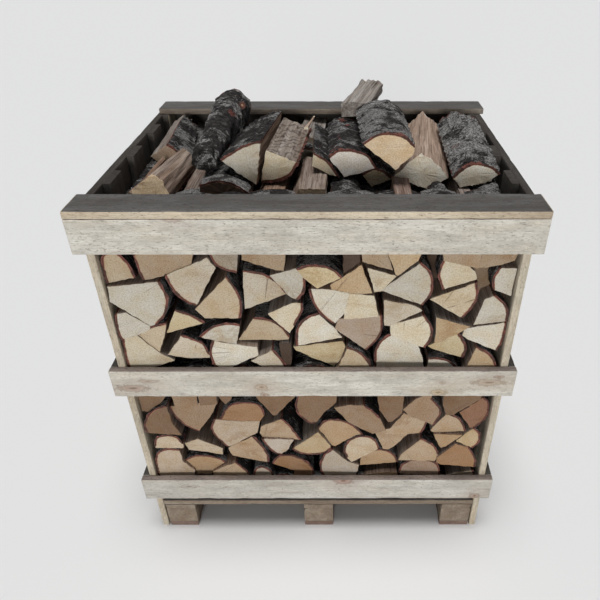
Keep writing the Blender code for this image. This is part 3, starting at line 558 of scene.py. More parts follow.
# Each line is one log end of the front row, read off the photograph in centimetres from the crate's
# middle and the floor: its colour, how many of its points lie on bark, then the outline, anticlockwise.
FRONT_ENDS = [
    ("tan", 6, -46.9, 107.2, -48.2, 112, -51.5, 115.5, -54.8, 113.5, -55.4, 108.5, -55.3, 105.2),
    ("brown_tan", 3, -46.4, 116.5, -46, 110, -45.2, 106.3, -39.3, 107.8, -31.5, 111, -30, 116.5),
    ("beige", 4, -38.9, 108.2, -38, 104.5, -35.5, 100.3, -32, 98, -25, 110.3, -27, 113.4),
    ("grey_cream", 5, -43.5, 92.2, -41, 95, -39.4, 98.8, -39.2, 102.5, -40.3, 106.5, -54.8, 104.8,
     -55.3, 100, -45.8, 91.5),
    ("grey_cream", 4, -54.9, 95.8, -55.4, 92.5, -55.4, 89.5, -55, 87, -50.4, 88.2, -46, 90.2, -46,
     91.6, -51.5, 96.3),
    ("cream", 4, -54.9, 86.7, -55.3, 82, -55.4, 77, -55.4, 73.5, -52, 73.5, -47, 76.2, -41.2, 78.4,
     -45, 81.5, -50.4, 88.2),
    ("tan", 4, -41.4, 92.4, -44.5, 91.6, -47.5, 90.6, -50.5, 88.4, -45.2, 81.2, -42.2, 88.5),
    ("yellow", 3, -30.3, 91.8, -33.5, 94.4, -38.2, 96.6, -42, 88.2),
    ("beige", 4, -30.6, 81, -31.5, 84, -34, 86, -37.6, 87.6, -43, 80.3, -37.5, 79, -30.7, 79),
    ("orange", 3, -31, 74, -34, 75.9, -38, 75, -38.5, 72, -31, 72),
    ("white", 4, -28.9, 86.4, -30.2, 82.5, -29.9, 78, -28.2, 74.6, -26, 75.2, -19.5, 79, -16, 80.8,
     -16.3, 83.8, -22, 85),
    ("shaded", 4, -27.2, 116, -25.5, 111, -22.8, 109.1, -19.8, 108.2, -18.6, 116),
    ("tan", 4, -19.9, 94, -19.1, 98.5, -19.8, 103, -22.3, 108, -32.3, 97.2, -30, 94.1),
    ("grey_cream", 4, -20.4, 92.2, -24.5, 92.7, -28.8, 91.2, -32.6, 87.8, -28.5, 86.4, -21.9, 85),
    ("beige", 4, -6.2, 101.8, -9, 105.8, -12.8, 108.5, -18.1, 109.4, -18.7, 96.8),
    ("brown_tan", 0, -6, 116, -17.9, 116, -17.9, 112.9, -9, 109.6, -7, 109.4),
    ("grey_cream", 3, -3.6, 99.8, -1.6, 103, -1.2, 107.2, -3.6, 110.2, -10.9, 107.9, -6, 101.5),
    ("cream", 3, -4.6, 91.5, -2.4, 96, -2.3, 98.7, -5.3, 98.9, -12.3, 95.1, -6.5, 88.4),
    ("tan", 4, -6.5, 86.8, -8.6, 90.2, -12, 92.8, -16.4, 93.6, -21.6, 85.2, -7, 85.3),
    ("beige", 3, -7.2, 74.8, -9.2, 79.5, -11.4, 83.2, -18.4, 78.8, -14.5, 76.3),
    ("dark", 0, -6.2, 84.8, -9.8, 84.9, -9.3, 79.5, -7.1, 74.5, -6.4, 78),
    ("orange", 3, -17.3, 74.5, -20.5, 76.9, -24.8, 75.4, -24.8, 72.5, -17.3, 72.5),
    ("white", 5, 1.6, 95.5, -1.2, 94.4, -4, 91.2, -4.9, 88, -5, 83.6, 8.6, 86.6, 6.5, 90),
    ("yellow", 0, 9.6, 82.8, 8.8, 84.9, 0.5, 83.8, -5.8, 83, -5, 81.6, 0.5, 78.4, 6, 75.6, 8, 77.5),
    ("cream", 4, 5, 75, 2, 76.9, -2, 77, -6, 75.2, -6, 72, 5, 72),
    ("yellow", 5, 8.8, 107.9, 6.5, 110.4, 3, 111.7, -0.8, 111.8, -3.8, 110.6, -0.7, 106.5, 1.8, 104.2),
    ("white", 4, -0.6, 103.8, 0.3, 99.5, 2.6, 95.3, 6.2, 91.8, 9.5, 96, 11, 102.3, 5, 103.6),
    ("cream", 0, 18.8, 94.4, 17.4, 101.5, 10.8, 102.4, 9.2, 96.5, 9, 93.6),
    ("amber", 0, 16.9, 102.2, 13.7, 111.2, 5.3, 104.9, 5.6, 102.6, 11, 101.8),
    ("dark", 0, 13.3, 116, 8.9, 116, 8.9, 108.8, 13.2, 112.3),
    ("brown_tan", 0, 22.2, 109.6, 20, 116, 13.6, 116, 13.9, 112.4),
    ("amber", 0, 28.6, 113, 29.5, 116, 20.2, 116, 22.6, 109.5, 23.3, 108.2),
    ("cream", 0, 23.3, 107.9, 15.3, 110.6, 17.4, 102.9, 19.2, 103),
    ("grey_cream", 5, 31, 98.4, 33.2, 102.5, 33.2, 106.5, 32, 109.8, 29.6, 112.2, 19, 103.2),
    ("beige", 0, 30.9, 96.6, 29, 98.3, 20.1, 100.4, 20.5, 91.6, 22, 91.3),
    ("pinkish", 4, 15.7, 81.9, 18.6, 85.2, 20.2, 89.5, 20, 94.5, 7.3, 93.4, 6.6, 89.9),
    ("tan", 4, 18.3, 74.2, 16.3, 79.3, 13.4, 82.6, 10.3, 84.1, 9, 80.5, 6.9, 75.5, 6.8, 73.6),
    ("white", 4, 22.5, 87.5, 19.6, 84.7, 18.2, 80.5, 18.2, 74, 33.3, 73.8, 32.6, 79, 30.6, 84),
    ("cream", 4, 32.8, 83.2, 34.6, 87.5, 34, 91.8, 31.9, 95, 22.2, 91.6, 22.7, 87.6),
    ("brown_tan", 0, 44.6, 110.4, 45.2, 116, 34.8, 116, 35.2, 112.7, 40, 111.6),
    ("brown_tan", 0, 54.5, 112, 55.4, 116, 46, 116, 44.5, 110.1, 47, 110),
    ("cream", 3, 35.2, 112.8, 34.3, 108, 35.8, 103.2, 44.9, 106.6, 44.3, 109, 41.8, 111.3),
    ("cream", 4, 42.6, 93.6, 45, 97.5, 46, 101.5, 45.2, 105.8, 32.7, 100.1),
    ("amber", 0, 45, 91.1, 35.1, 94.3, 35.4, 85.3, 36.5, 85.2, 42, 88.8),
    ("yellow", 3, 44.6, 78.5, 45.3, 82.5, 42.2, 88.4, 33.8, 83, 35, 82),
    ("white", 4, 43.9, 74.2, 41.2, 77.4, 37.8, 78.9, 34.3, 78.7, 34.1, 73.6),
    ("amber", 4, 55, 73.8, 54.3, 77.8, 52, 81.5, 47.8, 84.2, 44.9, 73.8),
    ("white", 3, 54.2, 81.8, 55.4, 86.5, 55.4, 92.2, 43.8, 89.9, 43.2, 87.3, 45, 86),
    ("grey_cream", 4, 55.4, 92.8, 55.2, 96, 53.8, 99, 50.8, 101.8, 48, 100.2, 45.9, 91.4),
    ("grey_cream", 3, 50.4, 110, 49.1, 106.5, 49.7, 103.2, 55.2, 100.8, 55.4, 109.8),
    ("brown", 0, -45.5, 65, -55.4, 65, -55.3, 56.8, -53.5, 56.5, -48.5, 60.5),
    ("brown", 5, -46.6, 60.6, -50, 59.5, -53.4, 56.3, -55.3, 52, -55.2, 48.2, -43.8, 47.2, -46, 53),
    ("brown_tan", 4, -46.6, 58.3, -45.5, 53.8, -42.5, 49.3, -38.8, 46.7, -33, 55.3, -30.9, 60.8, -36, 60),
    ("brown_tan", 0, -37, 60, -36.4, 65, -44.5, 65, -44, 58.5),
    ("brown", 0, -30.5, 61, -30.5, 65, -36.2, 65, -36, 60.2),
    ("cream", 5, -44.2, 43, -45.8, 45.9, -49.5, 46.8, -52.8, 45.5, -54, 42, -53.5, 40.7, -44.4, 40.4),
    ("beige", 5, -46, 40, -50.5, 40.2, -53.6, 38.3, -55, 34, -55.3, 25.5, -43, 25.2, -42.2, 29, -45.6,
     33.8),
    ("cream", 0, -31.7, 38.7, -35, 40.8, -39.5, 43.4, -44, 41.5, -43.3, 38.2, -37, 37.2, -32, 35.7),
    ("amber", 5, -31.3, 32.2, -33, 34, -37, 35.5, -41.5, 35.6, -45.2, 33.6, -42.4, 29.5, -42, 26, -37,
     26, -36.2, 28.4),
    ("tan", 4, -22.8, 25, -23.6, 27.8, -25.2, 30.5, -27.2, 33.1, -31, 31.6, -36.2, 28.2, -36.3, 24.8),
    ("beige", 4, -32.8, 53.8, -34.2, 49.8, -33.2, 45.5, -30.2, 40.4, -28.4, 40.8, -19.3, 47, -17.9,
     52.4, -24, 52.4),
    ("orange", 5, -16, 55.5, -17.5, 59.8, -22.5, 61.2, -28, 59, -31.3, 52.5, -31, 51.2, -24, 52.3,
     -17.9, 52.3),
    ("brown", 0, -26.4, 62, -25, 65, -30.4, 65, -29.9, 62, -28.4, 59.4),
    ("brown", 0, -4.5, 65, -19.5, 65, -18, 61.8, -13.7, 54.3, -12.6, 54.4),
    ("brown", 5, -5.6, 63, -6.4, 58.5, -5, 54.2, -1.8, 51, 0, 51.2, 3, 56.3, 6.8, 60.5, 7, 65, -5.5, 65),
    ("tan", 4, -4.6, 43.9, -6.5, 47.5, -8.3, 51, -10.6, 53.8, -17.9, 50, -18.6, 47, -17.8, 45.4, -8, 44.9),
    ("grey_cream", 4, -18, 45.4, -16.6, 42, -14.4, 38.8, -12.3, 37.7, -9.7, 39.9, -7.3, 44.9),
    ("tan", 4, -16.3, 32.6, -16.5, 37, -18.2, 41.3, -20.6, 45.3, -28.6, 40.8, -29.6, 39.8, -28.7, 36.2),
    ("grey_cream", 5, -14.8, 25, -16, 28.6, -19, 30.8, -21.6, 29.4, -22.6, 25),
    ("orange", 6, -1, 25.2, -1.9, 30.2, -5, 33.9, -9.5, 35.8, -13.5, 34.9, -15.8, 31, -8, 27.6, -8.5, 25),
    ("yellow", 5, -8.2, 40.4, -5.5, 38.3, -1.5, 37.5, 2.5, 38.3, 4.7, 40.2, 4.6, 41.8, 0.8, 48.4),
    ("amber", 5, 15.6, 46.3, 12.2, 50.6, 7.5, 52.9, 3, 52.3, 0.5, 49.3, 5.1, 41, 6.3, 40.4, 10.8, 44.2),
    ("brown_tan", 3, 20.5, 55, 18.5, 57.8, 15.9, 60.2, 10.5, 60.2, 6.1, 58.8, 10.5, 52.5, 14, 49.8,
     18.5, 47, 22.8, 48.6),
    ("brown_tan", 4, 38.2, 50.4, 40.1, 54.6, 39.9, 58.3, 37, 62.3, 36, 65, 31.5, 62, 27.8, 57.6, 30,
     55.2, 35, 52.6),
    ("tan", 3, 34.7, 46.7, 35.8, 49.5, 36.3, 52, 30, 55, 28.4, 56, 24.2, 49.2, 19.3, 47.3, 22.3, 39.5,
     24, 38.9, 26.5, 40.9, 30, 46.3),
    ("brown", 0, 27.6, 57, 27.8, 65, 19.3, 65, 20.4, 58.5, 23.3, 53.2, 24.5, 53.4),
    ("cream", 7, 21.2, 40.2, 20, 43.6, 17.6, 45.9, 13.5, 45.9, 10.2, 43, 9, 39, 9.7, 35.5, 11.8, 32.5,
     15.2, 35.2),
    ("amber", 5, 28, 31.6, 26.9, 34.8, 24.3, 37.6, 20.3, 38.6, 16.3, 36.6, 15, 34.5, 14.6, 30.3, 22, 31),
    ("amber", 0, 28, 24.5, 27.6, 27.3, 21, 27, 16.5, 25.8, 16, 24.5),
    ("grey_cream", 5, 5, 39.3, 2.2, 36.4, 0.9, 32, 1, 28.5, 1.8, 26, 13.3, 25.9, 14.4, 31.5, 10.5, 33.2),
    ("tan", 4, 41.2, 37.6, 39.8, 40.8, 37.6, 43, 35, 44.8, 28.3, 36.5, 27.6, 33.8, 40.2, 33.6),
    ("pinkish", 7, 42.7, 25.8, 42.2, 30, 40.2, 33, 35.5, 34.3, 31.2, 33.4, 28.7, 30.6, 27.9, 26.5),
    ("tan", 4, 49.4, 47.2, 48.3, 50.6, 46.3, 53.6, 42.8, 55.8, 41.8, 55, 38, 49.2, 37.6, 47.6, 38.5, 46.8),
    ("amber", 0, 48.2, 46.7, 38.6, 46.9, 40.5, 42, 41.6, 40.3, 43, 40.9),
    ("brown", 0, 51.5, 63, 52, 65, 40, 65, 40.3, 60, 41.8, 55.8, 44, 56.2),
    ("red_brown", 5, 52, 49.6, 54.8, 53.5, 55.4, 57.5, 54.8, 61, 53, 63.2, 46, 56.2, 48.8, 51.8, 50.3,
     49.3),
    ("yellow", 5, 52.2, 40.2, 53.9, 42.6, 54.2, 45.5, 53.3, 48.2, 51.7, 49.8, 48.8, 46.9, 46.3, 43.6),
    ("orange", 4, 54.3, 31.4, 53.8, 35.3, 52.6, 38.6, 51, 41, 46.2, 42.6, 40.7, 36, 40.4, 33.6, 42.2, 32.5),
    ("cream", 3, 55.3, 24.8, 55, 26.5, 54, 28.8, 48, 27.3, 45, 25.5, 45, 24.5),
]
# Colours of sawn birch ends, from fresh sapwood to old damp heartwood. 'shaded' and 'dark' are
# painted shade, for ends in shadow under the rails and deep among other logs; 'brown' is partly
# the wood's own colour and partly painted shade.
END_COLOURS = {
    "white": (0.74, 0.70, 0.59), "cream": (0.70, 0.63, 0.48), "grey_cream": (0.61, 0.575, 0.485),
    "beige": (0.63, 0.56, 0.44), "tan": (0.58, 0.48, 0.34), "yellow": (0.64, 0.54, 0.35),
    "amber": (0.56, 0.43, 0.275), "orange": (0.43, 0.285, 0.165), "brown_tan": (0.44, 0.34, 0.235),
    "pinkish": (0.48, 0.385, 0.30), "shaded": (0.40, 0.35, 0.28), "brown": (0.30, 0.215, 0.14),
    "red_brown": (0.35, 0.215, 0.14), "dark": (0.09, 0.062, 0.045), "honey": (0.71, 0.565, 0.385),
    "chalk": (0.84, 0.81, 0.745),
}
# Logs that show only as dark sides deep in the widest gaps, with dark ends: painted shade for the depth of
# the gaps.
DEEP_ENDS = [
    ("brown", 0, 49.8, 98.0, 51.0, 105.0, 48.6, 111.5, 43.8, 111.0, 44.6, 103.0, 45.6, 93.0),
    ("dark", 0, 19.6, 101.0, 18.6, 106.0, 14.6, 113.0, 12.2, 112.4, 12.4, 104.0),
    ("dark", 0, 36.2, 103.4, 36.6, 113.6, 31.4, 113.6, 33.0, 104.0),
    ("dark", 0, 9.6, 52.4, 5.6, 59.4, 1.8, 52.2),
    ("dark", 0, 55.4, 96.0, 55.4, 103.0, 52.8, 102.6, 53.6, 97.0),
]


def bark_curve(points, finely):
    """The smooth curve through the given points: for each stretch the cubic that leaves one point
    toward the next in the direction that its neighbours give."""
    before = np.vstack([2 * points[0] - points[1], points[:-1]])
    after = np.vstack([points[1:], 2 * points[-1] - points[-2]])
    slope = (after - before) / 2
    t = np.linspace(0, 1, finely + 1)[:-1, None, None]
    a, b, m, n = points[:-1], points[1:], slope[:-1], slope[1:]
    curve = (2 * t**3 - 3 * t**2 + 1) * a + (t**3 - 2 * t**2 + t) * m
    curve = curve + (3 * t**2 - 2 * t**3) * b + (t**3 - t**2) * n
    return np.vstack([curve.transpose(1, 0, 2).reshape(-1, 2), points[-1:]])


def log_section(points, bark, step):
    """The log's closed outline with a point about every step: smooth where it is bark, straight where
    it is split. Also tells, for each point, whether bark lies between it and the next one."""
    pieces, on_bark = [], []
    if bark > 2:
        dense = bark_curve(points[:bark], 12)
        run = np.concatenate([[0], np.cumsum(np.linalg.norm(np.diff(dense, axis=0), axis=1))])
        wanted = np.linspace(0, run[-1], max(4, int(round(run[-1] / step))) + 1)[:-1]
        pieces.append(np.stack([np.interp(wanted, run, dense[:, i]) for i in range(2)], axis=-1))
        on_bark.append(np.ones(len(wanted), bool))
        corners = np.vstack([points[bark - 1:], points[:1]])
    else:
        corners = np.vstack([points, points[:1]])
    for start, stop in zip(corners[:-1], corners[1:]):
        count = max(1, int(round(np.linalg.norm(stop - start) / step)))
        share = np.linspace(0, 1, count + 1)[:-1, None]
        pieces.append(start + (stop - start) * share)
        on_bark.append(np.zeros(count, bool))
    return np.vstack(pieces), np.concatenate(on_bark)


def heart_of(points, bark):
    """The middle of the tree's growth rings: the centre of the circle nearest the bark points, kept
    between five and a half and thirteen centimetres from them, or the sharpest corner where there is
    no bark."""
    if bark > 2:
        curve = points[:bark]
        known = np.hstack([2 * curve, np.ones((bark, 1))])
        centre = np.linalg.lstsq(known, (curve**2).sum(1), rcond=None)[0][:2]
        middle = curve[bark // 2]
        inward = points.mean(0) - middle
        inward /= np.linalg.norm(inward)
        reach = np.clip(np.linalg.norm(centre - middle), 0.055, 0.13)
        return middle + inward * reach
    toward = np.roll(points, -1, axis=0) - points
    back = np.roll(points, 1, axis=0) - points
    cosine = (toward * back).sum(1) / np.linalg.norm(toward, axis=1) / np.linalg.norm(back, axis=1)
    sharpest = points[np.argmax(cosine)]
    return sharpest + (sharpest - points.mean(0)) * 0.25


def split_log(name, points, bark, near, far, seed, tone, silver, materials, step=0.009, cuts=9,
              far_scale=1.0, rough=1.0, near_fine=True, far_fine=False, crowd=1.7, tilt=0.03, shear=0.0,
              fresh=0.4, curl=0.14, ragged=0.0, near_kind=0):
    """A split log. Its outline is carried from its near end to its far end. Every point of its side
    moves in or out by a smooth random amount, bark by bumps of a centimetre or two and split wood by
    ridges that run lengthwise, and both sawn ends are flat with a slight lean and blunt edges. curl
    shortens the ridges, as in wavy wood, ragged breaks the far end off in splinters, and near_kind
    is the material of the near end where it isn't a clean sawn one: split wood where the end is
    broken, and bark where the end is to read dark as painted shade."""
    section, barked = log_section(points, bark, step)
    around = len(section)
    middle = section.mean(0)
    heart = heart_of(points, bark)
    tangent = np.roll(section, -1, axis=0) - np.roll(section, 1, axis=0)
    outward = np.stack([tangent[:, 1], -tangent[:, 0]], axis=-1)
    outward /= np.maximum(np.linalg.norm(outward, axis=1, keepdims=True), 1e-9)
    shares = FINE_END if near_fine else PLAIN_END
    far_shares = FINE_END if far_fine else PLAIN_END
    along = np.linspace(0, 1, cuts) ** crowd
    length = far[1] - near[1]
    blunt = BLUNT_EDGE / length
    along = np.clip(along, blunt, 1 - blunt)
    place = np.concatenate([np.zeros(len(shares)), along, np.ones(len(far_shares))])
    inset = np.concatenate([shares, np.ones(cuts), far_shares[::-1]])
    both = barked | np.roll(barked, 1)
    local = middle + (section - middle)[None] * inset[:, None, None]
    depth = np.broadcast_to((place * length)[:, None, None], local.shape[:2] + (1,))
    solid = np.concatenate([local[..., :1], depth, local[..., 1:]], axis=2).reshape(-1, 3)
    bump = field(solid * np.array([1.0, 1.4, 1.0]) + seed, seed, 0.05) * BARK_BUMP
    ridge = field(solid * np.array([1.0, curl, 1.0]) + seed, seed + 1, 0.035)
    ridge = ridge * (SPLIT_RIDGE - CURLY_LOSS * curl)
    splinter = field(solid * np.array([1.0, 0.02, 1.0]) + seed, seed + 3, 0.045) * ragged
    side = np.repeat(inset > 0.98, around)
    swell = np.where(np.tile(both, len(place)), bump, ridge) * side * rough
    solid[:, [0, 2]] += np.tile(outward, (len(place), 1)) * swell[:, None]
    lean = np.random.default_rng(seed).uniform(-tilt, tilt, 4)
    from_middle = solid[:, [0, 2]] - middle
    carried = np.repeat(place, around)
    leaning = np.where(carried < 0.5, from_middle @ lean[:2], from_middle @ lean[2:])
    end_weight = np.clip(1 - np.minimum(carried, 1 - carried) * 6, 0, 1)
    saw = field(solid * 3.0 + seed, seed + 2, 0.05) * SAW_WAVE
    solid[:, 1] += leaning * end_weight + saw * (end_weight > 0.95) - shear * from_middle[:, 1]
    solid[:, 1] += splinter * carried ** 3
    spread = 1 + (far_scale - 1) * carried
    path = np.array(near) + (np.array(far) - np.array(near)) * carried[:, None]
    world = np.empty_like(solid)
    world[:, 0] = path[:, 0] + solid[:, 0] * spread
    world[:, 1] = near[1] + solid[:, 1]
    world[:, 2] = path[:, 2] + solid[:, 2] * spread
    ends = np.array([near, far], float) + np.array([middle[0], 0, middle[1]]) * [[1.0], [far_scale]]
    pole_local = np.array([[middle[0], 0, middle[1]], [middle[0], length, middle[1]]])
    grain = np.vstack([solid, pole_local]) - np.array([heart[0], -seed * 1.3, heart[1]])
    if bark > 2:
        curve = bark_curve(points[:bark], 6)
        flat = np.vstack([solid, pole_local])[:, None, [0, 2]]
        rim = np.sqrt(((flat - curve[None]) ** 2).sum(2).min(1))
    else:
        rim = np.full(len(solid) + 2, 0.05)
    on_end = (inset[:-1] < 1) | (inset[1:] < 1)
    kinds = np.where(on_end[:, None], 0, np.where(barked[None], 1, 2))
    kinds[:len(shares)] = near_kind
    marks = {
        "log_grain": grain,
        "rim": rim,
        "tone": np.tile(tone, (len(grain), 1)),
        "silver": np.full(len(grain), silver),
        "fresh": np.full(len(grain), fresh),
        "wavy": np.full(len(grain), float(curl > 0.5)),
    }
    rings = world.reshape(len(place), around, 3)
    return closed_skin(name, rings, ends[0], ends[1], kinds, materials, marks)


# Bark layers, seen as a line round a log's end: the dark outer bark, a pinkish cork layer, a thin
# dark red line, then orange inner bark against the wood. The rim mark is the distance in from outside.
bark_layers, given, result = shader_group(
    "bark_layers",
    [("Rim", FLOAT), ("Place", VECTOR), ("Wood", COLOUR)],
    [("Colour", COLOUR), ("Wooded", FLOAT)])
uneven = reckon(bark_layers, "MULTIPLY_ADD", cloud(bark_layers, given.outputs[1], 45.0, 3.0), 0.8, 0.6)
inward = times(bark_layers, reckon(bark_layers, "DIVIDE", given.outputs[0], BARK_DEPTH), uneven)
layer = steps(bark_layers, inward, [
    (0.0, (0.020, 0.016, 0.015)), (0.20, (0.045, 0.026, 0.022)), (0.28, (0.235, 0.098, 0.078)),
    (0.44, (0.165, 0.058, 0.046)), (0.54, (0.030, 0.013, 0.011)), (0.66, (0.17, 0.062, 0.045)),
    (0.82, (0.36, 0.20, 0.125))])
dim = steps(bark_layers, cloud(bark_layers, given.outputs[1], 42.0, 4.0), [(0.42, 0.8), (0.56, 0.0)])
layer = blended(bark_layers, dim, layer, (0.055, 0.030, 0.024))
wooded = steps(bark_layers, inward, [(0.84, 0.0), (0.93, 1.0)])
bark_layers.links.new(blended(bark_layers, wooded, layer, given.outputs[2]), result.inputs[0])
bark_layers.links.new(wooded, result.inputs[1])

# Sawn end: growth rings round the heart, yellower inside and paler outside, fine pores and saw
# scratches, a few drying cracks that run out from the heart, and the bark layers round the rim.
birch_end, tree, shader = finish_material("birch_end_grain")
place = mark_of(tree, "log_grain")
tone = mark_of(tree, "tone", "Color")
ring, radius = use_group(tree, growth, place, RING_WIDTH, 0.012)
ringed = cloud(tree, stretch(tree, place, (7.0, 0.7, 7.0)), 1.0, 1.0, 0.5)
ring_share = times(tree, ring, steps(tree, ringed, [(0.46, 0.08), (0.60, 0.50)]))
inside = steps(tree, times(tree, radius, 8.0), [
    (0.05, (0.84, 0.70, 0.54)), (0.40, (0.98, 0.94, 0.86)), (0.75, (1.06, 1.04, 1.02))])
wood = blended(tree, 1.0, blended(tree, 1.0, tone, (0.79, 0.81, 0.85), "MULTIPLY"), inside, "MULTIPLY")
patch = cloud(tree, stretch(tree, place, (22.0, 3.0, 22.0)), 1.0, 4.0, 0.6)
wood = toned(tree, wood, patch, [(0.40, 0.0), (0.72, 0.55)], (0.86, 0.72, 0.50), "MULTIPLY")
wood = blended(tree, ring_share, wood, (0.62, 0.48, 0.34), "MULTIPLY")
pores = cloud(tree, stretch(tree, place, (240.0, 10.0, 240.0)), 1.0, 6.0, 0.84)
wood = toned(tree, wood, pores, [(0.38, 0.68), (0.50, 0.0)], (0.54, 0.44, 0.35), "MULTIPLY")
wood = toned(tree, wood, pores, [(0.50, 0.0), (0.62, 0.65)], (1.27, 1.27, 1.25), "MULTIPLY")
scratch = cloud(tree, stretch(tree, place, (70.0, 10.0, 1300.0)), 1.0, 2.0, 0.5)
wood = toned(tree, wood, scratch, [(0.36, 0.16), (0.50, 0.0)], (0.7, 0.62, 0.54), "MULTIPLY")
apart = node_in(tree, "ShaderNodeSeparateXYZ", place)
angle = reckon(tree, "ARCTAN2", apart, apart.node.outputs[2])
pulled = tree.nodes.new("ShaderNodeCombineXYZ")
tree.links.new(times(tree, angle, 3.1), pulled.inputs[0])
tree.links.new(apart.node.outputs[1], pulled.inputs[1])
tree.links.new(times(tree, radius, 6.0), pulled.inputs[2])
ray = cloud(tree, pulled.outputs[0], 1.7, 2.0, 0.4)
crack = reckon(tree, "ABSOLUTE", reckon(tree, "SUBTRACT", ray, 0.60))
crack = steps(tree, crack, [(0.0, 0.85), (0.005, 0.0)])
seldom = cloud(tree, stretch(tree, place, (9.0, 0.9, 9.0)), 1.0, 2.0, 0.5)
crack = times(tree, crack, steps(tree, seldom, [(0.50, 0.0), (0.56, 1.0)]))
long_ray = cloud(tree, stretch(tree, pulled.outputs[0], (26.0, 1.0, 0.8)), 1.0, 2.0, 0.5)
wood = toned(tree, wood, long_ray, [(0.36, 0.07), (0.52, 0.0)], (0.7, 0.6, 0.5), "MULTIPLY")
wood = blended(tree, crack, wood, (0.10, 0.055, 0.03))
colour, wooded = use_group(tree, bark_layers, mark_of(tree, "rim", "Fac"), place, wood)
tree.links.new(colour, shader.inputs["Base Color"])
tree.links.new(steps(tree, pores, [(0.2, 0.92), (0.8, 0.74)]), shader.inputs["Roughness"])
shader.inputs["Specular IOR Level"].default_value = 0.2
height = plus(tree, times(tree, pores, 0.5), times(tree, scratch, 0.5))
height = plus(tree, height, times(tree, crack, -2.0))
height = plus(tree, height, times(tree, wooded, 0.8))
tree.links.new(node_in(tree, "ShaderNodeBump", 0.5, 0.0010, None, height), shader.inputs["Normal"])

# Bark: near-black corky plates and cracks with silver white papery skin left between them, short
# dark breathing pores that run round the trunk, and red-brown patches where the skin is torn off.
birch_bark, tree, shader = finish_material("birch_bark")
place = mark_of(tree, "log_grain")
silver = mark_of(tree, "silver", "Fac")
corky = cloud(tree, stretch(tree, place, (70.0, 120.0, 70.0)), 1.0, 8.0, 0.8)
colour = steps(tree, corky, [
    (0.38, (0.006, 0.005, 0.005)), (0.52, (0.030, 0.027, 0.026)), (0.64, (0.080, 0.074, 0.070))])
patch = cloud(tree, stretch(tree, place, (15.0, 19.0, 15.0)), 1.0, 3.0, 0.6)
streak = cloud(tree, stretch(tree, place, (17.0, 130.0, 17.0)), 1.0, 6.0, 0.78)
speck = cloud(tree, stretch(tree, place, (190.0, 260.0, 190.0)), 1.0, 5.0, 0.85)
cover = reckon(tree, "MULTIPLY_ADD", patch, 0.64, times(tree, streak, 0.46))
cover = plus(tree, cover, reckon(tree, "MULTIPLY_ADD", speck, 0.30, times(tree, silver, 0.11)))
paper = steps(tree, cover, [(0.755, 0.0), (0.790, 0.9), (0.88, 1.0)])
white = steps(tree, speck, [(0.42, (0.055, 0.053, 0.051)), (0.60, (0.44, 0.43, 0.415))])
colour = blended(tree, paper, colour, white)
pore = cloud(tree, stretch(tree, place, (40.0, 300.0, 40.0)), 1.0, 3.0, 0.6)
dashes = steps(tree, pore, [(0.36, 0.95), (0.43, 0.0)])
colour = blended(tree, dashes, colour, (0.010, 0.009, 0.008))
torn = cloud(tree, stretch(tree, place, (17.0, 22.0, 17.0)), 1.0, 5.0, 0.62)
torn_share = steps(tree, torn, [(0.67, 0.0), (0.70, 0.9)])
torn_wood = steps(tree, speck, [
    (0.35, (0.035, 0.010, 0.009)), (0.50, (0.13, 0.035, 0.027)), (0.65, (0.30, 0.12, 0.09))])
colour = blended(tree, torn_share, colour, torn_wood)
tree.links.new(colour, shader.inputs["Base Color"])
tree.links.new(steps(tree, corky, [(0.2, 0.95), (0.8, 0.72)]), shader.inputs["Roughness"])
shader.inputs["Specular IOR Level"].default_value = 0.25
height = plus(tree, times(tree, corky, 2.2), times(tree, streak, 1.4))
height = plus(tree, height, times(tree, dashes, -0.5))
tree.links.new(node_in(tree, "ShaderNodeBump", 1.0, 0.0026, None, height), shader.inputs["Normal"])

# Split face: long torn fibres, greyed by weather over brown wood, with the bark layers along the
# edges that meet bark.
def apart_along(tree, vector):
    """The second number of a vector, here how far along the log a place lies."""
    return node_in(tree, "ShaderNodeSeparateXYZ", vector).node.outputs[1]


birch_split, tree, shader = finish_material("birch_split_wood")
place = mark_of(tree, "log_grain")
tone = mark_of(tree, "tone", "Color")
strand = cloud(tree, stretch(tree, place, (170.0, 6.0, 170.0)), 1.0, 7.0, 0.84)
broad = cloud(tree, stretch(tree, place, (38.0, 2.4, 38.0)), 1.0, 4.0, 0.6)
greyed = steps(tree, broad, [
    (0.32, (0.16, 0.125, 0.105)), (0.50, (0.265, 0.238, 0.215)), (0.68, (0.41, 0.385, 0.355))])
warm = blended(tree, 1.0, tone, (0.58, 0.42, 0.36), "MULTIPLY")
wood = blended(tree, mark_of(tree, "fresh", "Fac"), greyed, warm)
straight = reckon(tree, "MULTIPLY_ADD", mark_of(tree, "wavy", "Fac"), -0.55, 1.0)
dark_strand = times(tree, steps(tree, strand, [(0.36, 0.85), (0.52, 0.0)]), straight)
wood = blended(tree, dark_strand, wood, (0.060, 0.038, 0.030))
wood = toned(tree, wood, strand, [(0.52, 0.0), (0.66, 0.55)], (0.56, 0.50, 0.43))
waves = cloud(tree, stretch(tree, place, (13.0, 5.0, 13.0)), 1.0, 3.0, 0.55)
waves = reckon(tree, "MULTIPLY_ADD", apart_along(tree, place), 24.0, times(tree, waves, 11.0))
waves = steps(tree, reckon(tree, "FRACT", waves), [
    (0.0, 1.0), (0.12, 0.7), (0.34, 0.0), (0.88, 0.0), (1.0, 1.0)])
waves = times(tree, waves, mark_of(tree, "wavy", "Fac"))
waves = times(tree, waves, steps(tree, strand, [(0.40, 1.0), (0.60, 0.45)]))
wood = blended(tree, times(tree, waves, 0.92), wood, (0.050, 0.034, 0.027))
colour = use_group(tree, bark_layers, mark_of(tree, "rim", "Fac"), place, wood)[0]
tree.links.new(colour, shader.inputs["Base Color"])
tree.links.new(steps(tree, strand, [(0.2, 0.95), (0.8, 0.75)]), shader.inputs["Roughness"])
shader.inputs["Specular IOR Level"].default_value = 0.2
